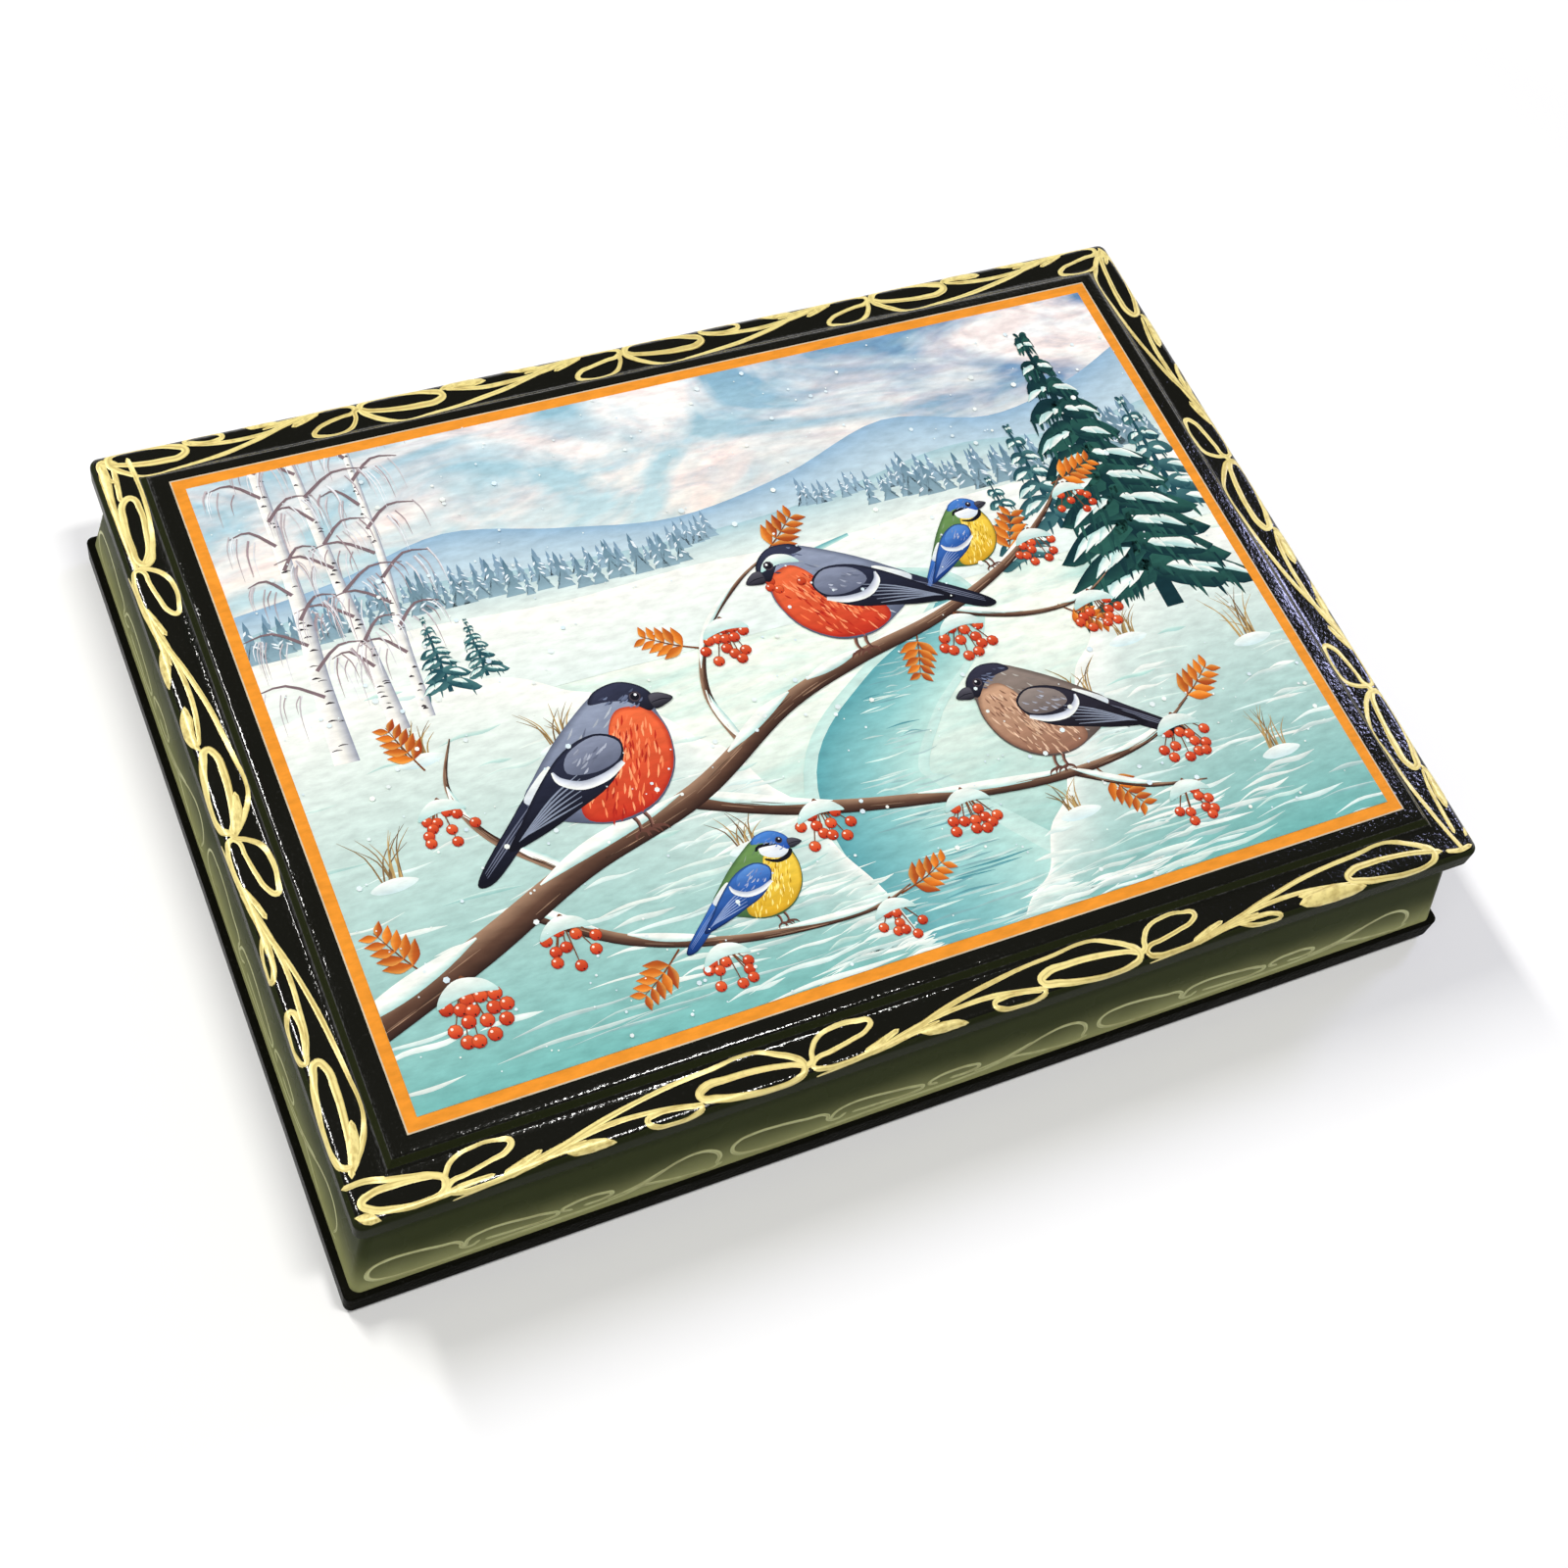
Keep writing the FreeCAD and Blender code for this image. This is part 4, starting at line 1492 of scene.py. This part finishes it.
def berry_cluster(art, x, y, count, size):
    """Rowan berries on their stalks, with snow on top of the bunch."""
    hand = art.hand
    spots = []
    for _ in range(count * 8):
        if len(spots) < count:
            a, r = hand.uniform(0, 2 * math.pi), hand.random() ** 0.5
            bx, by = x + r * math.cos(a) * size * 2.9, y - size * 2 + r * math.sin(a) * size * 2.1
            if all(math.hypot(bx - ox, by - oy) > size * 0.82 for ox, oy in spots):
                spots.append((bx, by))
    for bx, by in spots:
        stalk = ((x, y + size * 1.6, 0.12), ((x + bx) / 2, (y + by) / 2 + size * 0.8, 0.1), (bx, by, 0.06))
        art.stroke(stalk, ink(122, 74, 48), steps=3)
    for bx, by in sorted(spots, key=lambda s: -s[1]):
        tone = hand.uniform(0, 0.35)
        art.patch(circle(bx, by, size * 0.62, 10), blend(BERRY_LIGHT, BERRY, 0.35 + tone),
                  blend(BERRY, BERRY_DARK, 0.25 + tone), BERRY_DARK, (1, 0.8, 0.4), 1)
        art.dot(bx - size * 0.2, by + size * 0.26, size * 0.13, ink(255, 232, 214), None, 6)
        art.dot(bx + size * 0.12, by - size * 0.4, size * 0.09, BARK_DARK, None, 5)
    cap = ((-2.6, -0.6), (-1.9, 0.6), (-0.4, 1.4), (1.5, 0.9), (2.5, -0.4), (1.3, -0.2), (0, -0.1),
           (-1.3, -0.3))
    art.patch([(x + size * u, y + size * v) for u, v in cap], SNOW, SNOW_SHADE, None, (1, 0.6, 0.3))


def rowan_leaf(art, x, y, angle, size):
    """A dry compound leaf, with its leaflets in pairs along a stalk."""
    ax, ay = math.cos(math.radians(angle)), math.sin(math.radians(angle))
    art.stroke(((x, y, 0.14), (x + ax * size * 0.5, y + ay * size * 0.5 - 0.4, 0.11),
                (x + ax * size, y + ay * size, 0.04)), ink(126, 72, 40), steps=3)
    for pair in range(5):
        share = 0.3 + 0.16 * pair
        for side in (-1, 1):
            lean = math.radians(angle + side * 52)
            lx, ly = x + ax * size * share, y + ay * size * share - 0.3
            reach = size * (0.42 - 0.04 * pair)
            out, up = math.cos(lean) * reach, math.sin(lean) * reach
            tone = art.tone(ink(232, 128, 40), ink(168, 74, 34))
            leaflet = ((lx, ly, 0.05), (lx + out * 0.45, ly + up * 0.45, 0.16 * reach + 0.2),
                       (lx + out, ly + up, 0.03))
            art.stroke(leaflet, tone, blend(tone, ink(250, 190, 96), 0.5), blend(tone, BERRY_DARK, 0.35), 4)


class LACQUERBOX_OT_painted_bough(bpy.types.Operator):
    """Paint the rowan bough with its berries, leaves and snow"""

    bl_idname = "lacquer_box.painted_bough"
    bl_label = "Painted bough"

    MAIN = ((-82, -41, 2.7), (-62, -33.5, 2.4), (-44, -25.5, 2.1), (-24, -19.5, 1.8), (-6, -9.5, 1.5),
            (8, -5, 1.25), (24, -1.5, 1.0), (39, 4.5, 0.7), (50, 12, 0.4), (56, 18, 0.12))
    TWIGS = (
        ((-26, -20, 1.4), (-10, -26.5, 1.2), (10, -31, 1.0), (30, -33.5, 0.8), (46, -32, 0.5),
         (56, -27, 0.12)),
        ((-54, -30, 1.0), (-42, -38.5, 0.85), (-26, -43.5, 0.65), (-8, -45, 0.4), (0, -43, 0.1)),
        ((-14, -14, 0.8), (-16, -4, 0.6), (-12, 6, 0.45), (-3, 14, 0.3), (5, 18, 0.1)),
        ((-46, -26, 0.8), (-55, -17, 0.6), (-58, -8, 0.4), (-55, 0, 0.1)),
        ((26, -1, 0.6), (38, -5, 0.45), (48, -5, 0.3), (55, -1.5, 0.08)),
        ((32, -33.5, 0.6), (42, -39, 0.4), (52, -41, 0.1)),
    )
    BERRIES = ((-66, -39, 15, 1.75), (-50, -34, 9, 1.5), (-60, -11, 10, 1.4), (-9, 6, 13, 1.5),
               (4, 15, 9, 1.3), (-8, -28, 10, 1.5), (27, -4, 12, 1.55), (50, -6, 10, 1.45), (46, 8, 9, 1.3),
               (56, 15, 7, 1.2), (14, -33, 11, 1.5), (52, -31, 12, 1.5), (-30, -45, 9, 1.4),
               (-4, -46, 8, 1.3), (48, -42, 9, 1.4))
    LEAVES = ((-60, -4, 110, 9), (-14, 4, 150, 9), (2, 17, 40, 10), (40, 5, 62, 10), (54, 17, 20, 9),
              (20, -2, 250, 9), (36, -34, 300, 9), (54, -28, 35, 10), (-70, -35, 120, 10), (-36, -42, 215, 9),
              (-2, -44, 20, 9), (44, -5, 320, 8))

    def execute(self, context):
        art = Painting(39, 52)
        for leaf in self.LEAVES:
            rowan_leaf(art, *leaf)
        art.level_up()
        art.mark()
        for twig in self.TWIGS:
            art.restart()
            snowy_branch(art, twig)
        art.level_up()
        snowy_branch(art, self.MAIN)
        art.level_up()
        art.mark()
        for cluster in self.BERRIES:
            art.restart()
            berry_cluster(art, *cluster)
        art.finish("painted_bough")
        return {"FINISHED"}


# A perched finch that faces right, in millimetres from the middle of its back
FINCH = {
    "tail": ((-8.0, 1.2), (-12.8, -2.2), (-17.6, -6.0), (-19.0, -7.9), (-16.8, -8.0), (-12, -5.0),
             (-8.0, -2.4)),
    "body": ((11.0, 7.4), (10.2, 9.2), (7.8, 10.5), (4.8, 10.3), (1.4, 8.6), (-3.0, 5.8), (-7.0, 2.6),
             (-9.2, 0.4), (-8.4, -2.4), (-4.6, -5.0), (0.2, -6.9), (5.2, -6.2), (9.2, -2.8), (10.9, 1.6),
             (10.9, 5.2)),
    "rump": ((-4.6, 3.4), (-7.6, 1.8), (-9.4, 0.1), (-7.6, -1.0), (-5.0, 0.8)),
    "breast": ((10.2, 5.9), (10.8, 2.0), (9.1, -2.6), (5.2, -5.9), (0.2, -6.6), (-3.4, -5.2), (-3.2, -2.6),
               (0.4, -0.2), (3.0, 2.6), (4.6, 5.6), (6.4, 7.2), (8.6, 6.9)),
    "cap": ((11.5, 6.5), (11.2, 8.4), (9.8, 10.0), (7.8, 10.9), (5.0, 10.6), (3.6, 9.2), (5.8, 8.7),
            (8.0, 7.9), (9.2, 6.6), (10.3, 5.5)),
    "wing": ((4.9, 3.4), (2.2, 5.3), (-2.2, 4.5), (-6.8, 1.4), (-11.0, -2.4), (-13.8, -5.2), (-9.0, -4.7),
             (-4.0, -3.4), (0.6, -2.0), (3.8, 0.4)),
    "shoulder": ((4.6, 3.2), (2.2, 5.0), (-1.8, 4.0), (-3.0, 1.6), (0.2, 0.4), (3.6, 1.0)),
    "bill": ((10.9, 7.5), (12.3, 7.5), (13.7, 6.2), (12.4, 5.6), (10.9, 5.6)),
}
MALE = {
    "back": (ink(150, 160, 180), ink(92, 100, 122)), "breast": (ink(240, 112, 66), ink(196, 52, 36)),
    "fleck": (ink(252, 168, 118), ink(164, 36, 32)), "cap": (ink(58, 62, 84), BLACK), "cheek": None,
    "wing": (ink(48, 52, 72), ink(20, 20, 28)), "shoulder": (ink(138, 146, 166), ink(96, 102, 122)),
}
HEN = {
    "back": (ink(146, 132, 122), ink(98, 84, 78)), "breast": (ink(206, 164, 132), ink(146, 104, 84)),
    "fleck": (ink(232, 200, 170), ink(118, 80, 64)), "cap": (ink(58, 58, 76), BLACK), "cheek": None,
    "wing": (ink(52, 50, 62), ink(24, 22, 28)), "shoulder": (ink(150, 138, 130), ink(104, 94, 92)),
}
TIT = {
    "back": (ink(112, 150, 84), ink(66, 104, 66)), "breast": (ink(250, 218, 84), ink(214, 164, 40)),
    "fleck": (ink(255, 240, 160), ink(178, 132, 30)), "cap": (ink(82, 140, 214), ink(28, 70, 160)),
    "cheek": (ink(252, 252, 250), ink(208, 218, 226)),
    "wing": (ink(66, 118, 196), ink(22, 52, 116)), "shoulder": (ink(96, 148, 214), ink(40, 88, 168)),
}


class LACQUERBOX_OT_painted_birds(bpy.types.Operator):
    """Paint the finches and the tits that sit on the bough"""

    bl_idname = "lacquer_box.painted_birds"
    bl_label = "Painted birds"

    def feathers(self, art, outline, count, tones, lean, size):
        """Short strokes inside an outline, laid the way the feathers lie."""
        hand = art.hand
        line = flowing(outline, True, 3)
        cx, cy = centre_of(line)
        for _ in range(count):
            x, y = hand.choice(line)
            share = hand.uniform(0.1, 0.86)
            x, y = cx + (x - cx) * share, cy + (y - cy) * share
            angle = math.radians(lean + hand.uniform(-14, 14))
            reach = size * hand.uniform(0.6, 1.2)
            back, down = math.cos(angle) * reach, math.sin(angle) * reach
            feather = ((x, y, 0.03), (x - back * 0.5, y - down * 0.5 - 0.1, 0.14), (x - back, y - down, 0.02))
            art.stroke(feather, art.tone(*tones), steps=2)

    def bird(self, art, coat):
        """One bird in its coat, from its legs and tail to its eye."""
        for side in (0, 1.5):
            art.stroke(((1.0 + side, -5.6, 0.32), (1.7 + side, -7.6, 0.24), (1.5 + side, -9.0, 0.22)),
                       ink(112, 76, 66), ink(160, 118, 100), BARK_DARK, 3)
            for toe in (-0.9, 0.5, 1.3):
                art.stroke(((1.5 + side, -8.8, 0.2), (1.6 + side + toe, -9.2, 0.18),
                            (1.7 + side + toe * 1.3, -9.9, 0.05)), ink(104, 68, 58), steps=3)
        art.patch(FINCH["tail"], *coat["wing"], BLACK)
        for k in range(3):
            quill = ((-9, -0.6 - 0.4 * k, 0.05), (-13.5, -3.6 - 0.4 * k, 0.1), (-17.6, -6.6 - 0.3 * k, 0.03))
            art.stroke(quill, blend(coat["wing"][0], ink(150, 158, 180), 0.4), steps=3)
        art.patch(FINCH["body"], *coat["back"], blend(coat["back"][1], BLACK, 0.3))
        tips = blend(coat["back"][0], SNOW, 0.3)
        self.feathers(art, FINCH["body"], 46, (coat["back"][1], tips), 38, 1.7)
        art.patch(FINCH["rump"], SNOW, ink(196, 206, 216))
        art.patch(FINCH["breast"], *coat["breast"], coat["fleck"][1], (1, 0.9, 0.7, 0.45, 0.2))
        self.feathers(art, FINCH["breast"], 110, (coat["fleck"][0], coat["breast"][0]), 62, 1.6)
        self.feathers(art, FINCH["breast"], 60, (coat["fleck"][1], coat["breast"][1]), 62, 1.5)
        if coat["cheek"]:
            art.patch(((10.4, 5.6), (9.8, 7.4), (7.6, 8.4), (5.0, 8.2), (4.6, 6.4), (6.6, 4.8), (9.0, 4.4)),
                      *coat["cheek"])
            for stripe in (((11.0, 6.9, 0.3), (8.6, 7.6, 0.34), (5.0, 8.2, 0.36), (3.9, 7.4, 0.2)),
                           ((10.8, 5.4, 0.3), (9.6, 4.2, 0.5), (7.0, 3.9, 0.4), (4.8, 5.2, 0.2))):
                art.stroke(stripe, BLACK, steps=3)
        art.patch(FINCH["cap"], *coat["cap"], blend(coat["cap"][1], BLACK, 0.5))
        self.feathers(art, FINCH["cap"], 14, (coat["cap"][0], ink(120, 132, 160)), 20, 1.0)
        art.patch(FINCH["wing"], *coat["wing"], BLACK)
        for k in range(6):
            y = 0.2 - 0.75 * k
            art.stroke(((-1.6 - 0.3 * k, y + 0.9, 0.04), (-6.4 - 0.2 * k, y - 1.0 + 0.24 * k, 0.12),
                        (-12.2 + 0.25 * k, -4.4 + 0.08 * k, 0.03)),
                       blend(coat["wing"][0], ink(176, 188, 208), 0.55), steps=4)
        bar = ((3.9, 0.4, 0.3), (1.2, -0.6, 0.55), (-2.0, -0.6, 0.6), (-4.2, 0.9, 0.5), (-4.6, 2.4, 0.15))
        art.stroke(bar, ink(222, 226, 232), SNOW, ink(168, 176, 192), 4)
        art.patch(FINCH["shoulder"], *coat["shoulder"], None)
        tips = ink(190, 196, 210)
        self.feathers(art, FINCH["shoulder"], 18, (coat["shoulder"][1], tips), 30, 1.2)
        art.patch(FINCH["bill"], ink(92, 90, 100), BLACK, BLACK)
        art.stroke(((10.9, 6.5, 0.05), (12.2, 6.5, 0.08), (13.4, 6.1, 0.03)), BLACK, steps=2)
        art.dot(9.4, 8.05, 0.78, ink(96, 84, 92), BLACK)
        art.dot(9.4, 8.05, 0.58, BLACK)
        art.dot(9.58, 8.28, 0.2, ink(255, 255, 255), None, 6)

    def execute(self, context):
        art = Painting(44, 64)
        flock = (
            (MALE, -37, -12.2, 1.22, 1, 6),
            (MALE, 13, 6.4, 1.12, -1, 2),
            (HEN, 34, -23.2, 1.02, -1, -3),
            (TIT, -22, -36.6, 0.72, 1, 4),
            (TIT, 34, 10.2, 0.66, 1, 16),
        )
        for coat, x, y, size, facing, turn in flock:
            art.restart()
            art.stand(x, y, size, facing, turn)
            self.bird(art, coat)
        art.finish("painted_birds")
        return {"FINISHED"}


class LACQUERBOX_OT_painted_snowfall(bpy.types.Operator):
    """Paint the flakes of falling snow"""

    bl_idname = "lacquer_box.painted_snowfall"
    bl_label = "Painted snowfall"

    def execute(self, context):
        art = Painting(58, 85)
        hand = art.hand
        half = picture_half()
        for _ in range(420):
            art.restart()
            size = 0.12 + 0.42 * hand.random() ** 3
            art.dot(hand.uniform(-half[0], half[0]), hand.uniform(-half[1], half[1]), size,
                    art.tone(SNOW, ink(216, 234, 240)), None, 6)
        art.finish("painted_snowfall")
        return {"FINISHED"}


# The sheet, its border and its ground each stand this much above the one before
SHEET_STEP = 0.01 * MM


def paint_all_over(obj, colour):
    """Gives every corner of a mesh one paint colour."""
    layer = obj.data.color_attributes.new("paint", "FLOAT_COLOR", "POINT")
    for item in layer.data:
        item.color = (*colour, 1)


class LACQUERBOX_OT_picture_sheet(bpy.types.Operator):
    """Add the printed sheet with its pale edge, its orange border and the ground of the picture"""

    bl_idname = "lacquer_box.picture_sheet"
    bl_label = "Picture sheet"

    def execute(self, context):
        sizes = settings()
        layers = (
            ("print_sheet", 0, "paper", ["picture_print"]),
            ("print_border", sizes.paper_edge, "border", ()),
            ("print_ground", sizes.border_width, None, ()),
        )
        for layer, (name, margin, tone, nodes) in enumerate(layers):
            low = PRINT_LOW.z + layer * SHEET_STEP
            sheet = start_block(name, grown(PRINT_HALF, -margin), low, low + 2 * SHEET_STEP)
            if tone:
                paint_all_over(sheet, finish_colour(tone))
                material = paint_material("varnished print")
            else:
                material = landscape_material("varnished sky and snow")
            finish_piece(sheet, "lid", material, nodes)
        return {"FINISHED"}


# Stage


# Each soft lamp has its place, the way its long side runs, its length and width, its power in watts
# and its colour. The strips give the glints along the arrises, and the window the one on the right.
LAMPS = (
    ("left strip", (-0.35, 0.465, 0.81), (0.2, 0.9, -0.45), (0.44, 0.08), 5.6, (1.0, 0.99, 0.97)),
    ("top strip", (0.09, -0.257, 0.96), (1, 0, -0.1), (0.20, 0.08), 4.3, (1.0, 0.99, 0.97)),
    ("window", (0.655, 0.232, 0.505), (0, 0, 1), (0.13, 0.15), 1.3, (0.60, 0.62, 1.0)),
    ("front left softbox", (-0.60, -0.35, 0.75), (0, 0, 1), (0.50, 0.50), 1.0, (1.0, 1.0, 1.0)),
)


def seen_ray(nodes):
    """1 for rays that show the stage to the camera, straight on or by gloss or glass."""
    light = nodes.add("LightPath")
    seen = nodes.math("MAXIMUM", light["Is Camera Ray"], light["Is Glossy Ray"])
    return nodes.math("MAXIMUM", seen, light["Is Transmission Ray"])


def floor_material(colour, glow):
    """Pale floor with light of its own where it is seen, more of it far off, so that it reads as white."""
    finish = Finish("floor")
    distance = finish.add("VectorMath", {0: finish.place}, operation="LENGTH")["Value"]
    far = finish.ramp(distance, 0.25, 1.2, glow, 1.0)
    return finish.shade({
        "Base Color": colour,
        "Roughness": 1,
        "Specular IOR Level": 0,
        "Emission Color": (1, 1, 1),
        "Emission Strength": finish.math("MULTIPLY", seen_ray(finish), far),
    })


def studio_world(ambient):
    """White low down and dark overhead where it is seen, and an even soft light elsewhere."""
    world = bpy.data.worlds.new("studio")
    world.use_nodes = True
    nodes = Nodes(world.node_tree)
    up = nodes.add("SeparateXYZ", {0: nodes.add("TexCoord")["Generated"]})["Z"]
    sky = nodes.mix(nodes.ramp(up, 0.25, 0.5), (1.0, 1.0, 1.0), (0.05, 0.05, 0.045))
    background = world.node_tree.nodes["Background"].inputs
    nodes.feed(background["Color"], nodes.mix(seen_ray(nodes), (ambient,) * 3, sky))
    nodes.feed(background["Strength"], 1)
    return world


class LACQUERBOX_OT_stage(bpy.types.Operator):
    """Add the floor, the lamps and the camera"""

    bl_idname = "lacquer_box.stage"
    bl_label = "Stage"

    def execute(self, context):
        stage = context.scene.lacquer_box_stage
        deselect()
        bpy.ops.mesh.primitive_plane_add(size=stage.floor_size, location=(0, 0, 0))
        floor = context.object
        floor.name = "floor"
        floor.data.materials.append(floor_material(stage.floor_colour, stage.floor_glow))
        for name, place, way, size, power, colour in LAMPS:
            data = bpy.data.lights.new(name, "AREA")
            data.color = colour
            data.shape = "RECTANGLE"
            data.size, data.size_y = size
            data.energy = power
            lamp = bpy.data.objects.new(name, data)
            lamp.location = place
            back = Vector(place).normalized()
            long = (Vector(way) - back * back.dot(Vector(way))).normalized()
            lamp.rotation_euler = Matrix((long, back.cross(long), back)).transposed().to_euler()
            context.scene.collection.objects.link(lamp)
        context.scene.world = studio_world(stage.ambient)

        data = bpy.data.cameras.new("camera")
        data.sensor_width = 36
        data.lens = stage.camera_lens
        data.clip_start = 0.01
        data.clip_end = 100
        camera = bpy.data.objects.new("camera", data)
        place, aim = Vector(stage.camera_place), Vector(stage.camera_aim)
        level = (aim - place).to_track_quat("-Z", "Y").to_matrix().to_4x4()
        camera.matrix_world = Matrix.Translation(place) @ level @ Matrix.Rotation(stage.camera_roll, 4, "Z")
        context.scene.collection.objects.link(camera)
        context.scene.camera = camera
        context.scene.view_settings.view_transform = "Standard"
        return {"FINISHED"}


class LACQUERBOX_PT_panel(bpy.types.Panel):
    """Lists the pieces of the lacquer box"""

    bl_idname = "LACQUERBOX_PT_panel"
    bl_label = "Lacquer Box"
    bl_space_type = "VIEW_3D"
    bl_region_type = "UI"
    bl_category = "Lacquer Box"

    def draw(self, context):
        """Shows the buttons and then the settings."""
        for operator in OPERATORS:
            self.layout.operator(operator.bl_idname)
        for group in (context.scene.lacquer_box_sizes, context.scene.lacquer_box_colours,
                      context.scene.lacquer_box_stage):
            for name in group.__annotations__:
                self.layout.prop(group, name)


OPERATORS = (
    LACQUERBOX_OT_base_board,
    LACQUERBOX_OT_walls,
    LACQUERBOX_OT_collar,
    LACQUERBOX_OT_linings,
    LACQUERBOX_OT_lid_board,
    LACQUERBOX_OT_hinges,
    LACQUERBOX_OT_lid_scroll,
    LACQUERBOX_OT_wall_scroll,
    LACQUERBOX_OT_picture_sheet,
    LACQUERBOX_OT_painted_distance,
    LACQUERBOX_OT_painted_banks,
    LACQUERBOX_OT_painted_bough,
    LACQUERBOX_OT_painted_birds,
    LACQUERBOX_OT_painted_snowfall,
    LACQUERBOX_OT_stage,
)
GROUPS = (BoxSizes, BoxColours, StageSettings)


def register():
    """Adds the classes and the scene's settings to Blender."""
    for part in GROUPS + OPERATORS + (LACQUERBOX_PT_panel,):
        bpy.utils.register_class(part)
    bpy.types.Scene.lacquer_box_sizes = bpy.props.PointerProperty(type=BoxSizes)
    bpy.types.Scene.lacquer_box_colours = bpy.props.PointerProperty(type=BoxColours)
    bpy.types.Scene.lacquer_box_stage = bpy.props.PointerProperty(type=StageSettings)


def unregister():
    """Takes them away again."""
    del bpy.types.Scene.lacquer_box_stage
    del bpy.types.Scene.lacquer_box_colours
    del bpy.types.Scene.lacquer_box_sizes
    for part in reversed(GROUPS + OPERATORS + (LACQUERBOX_PT_panel,)):
        bpy.utils.unregister_class(part)


def main():
    """Builds the box and its stage."""
    register()
    bpy.ops.lacquer_box.base_board()
    bpy.ops.lacquer_box.walls()
    bpy.ops.lacquer_box.collar()
    bpy.ops.lacquer_box.linings()
    bpy.ops.lacquer_box.lid_board()
    bpy.ops.lacquer_box.hinges()
    bpy.ops.lacquer_box.lid_scroll()
    bpy.ops.lacquer_box.wall_scroll()
    bpy.ops.lacquer_box.picture_sheet()
    bpy.ops.lacquer_box.painted_distance()
    bpy.ops.lacquer_box.painted_banks()
    bpy.ops.lacquer_box.painted_bough()
    bpy.ops.lacquer_box.painted_birds()
    bpy.ops.lacquer_box.painted_snowfall()
    bpy.ops.lacquer_box.stage()


if __name__ == "__main__":
    main()
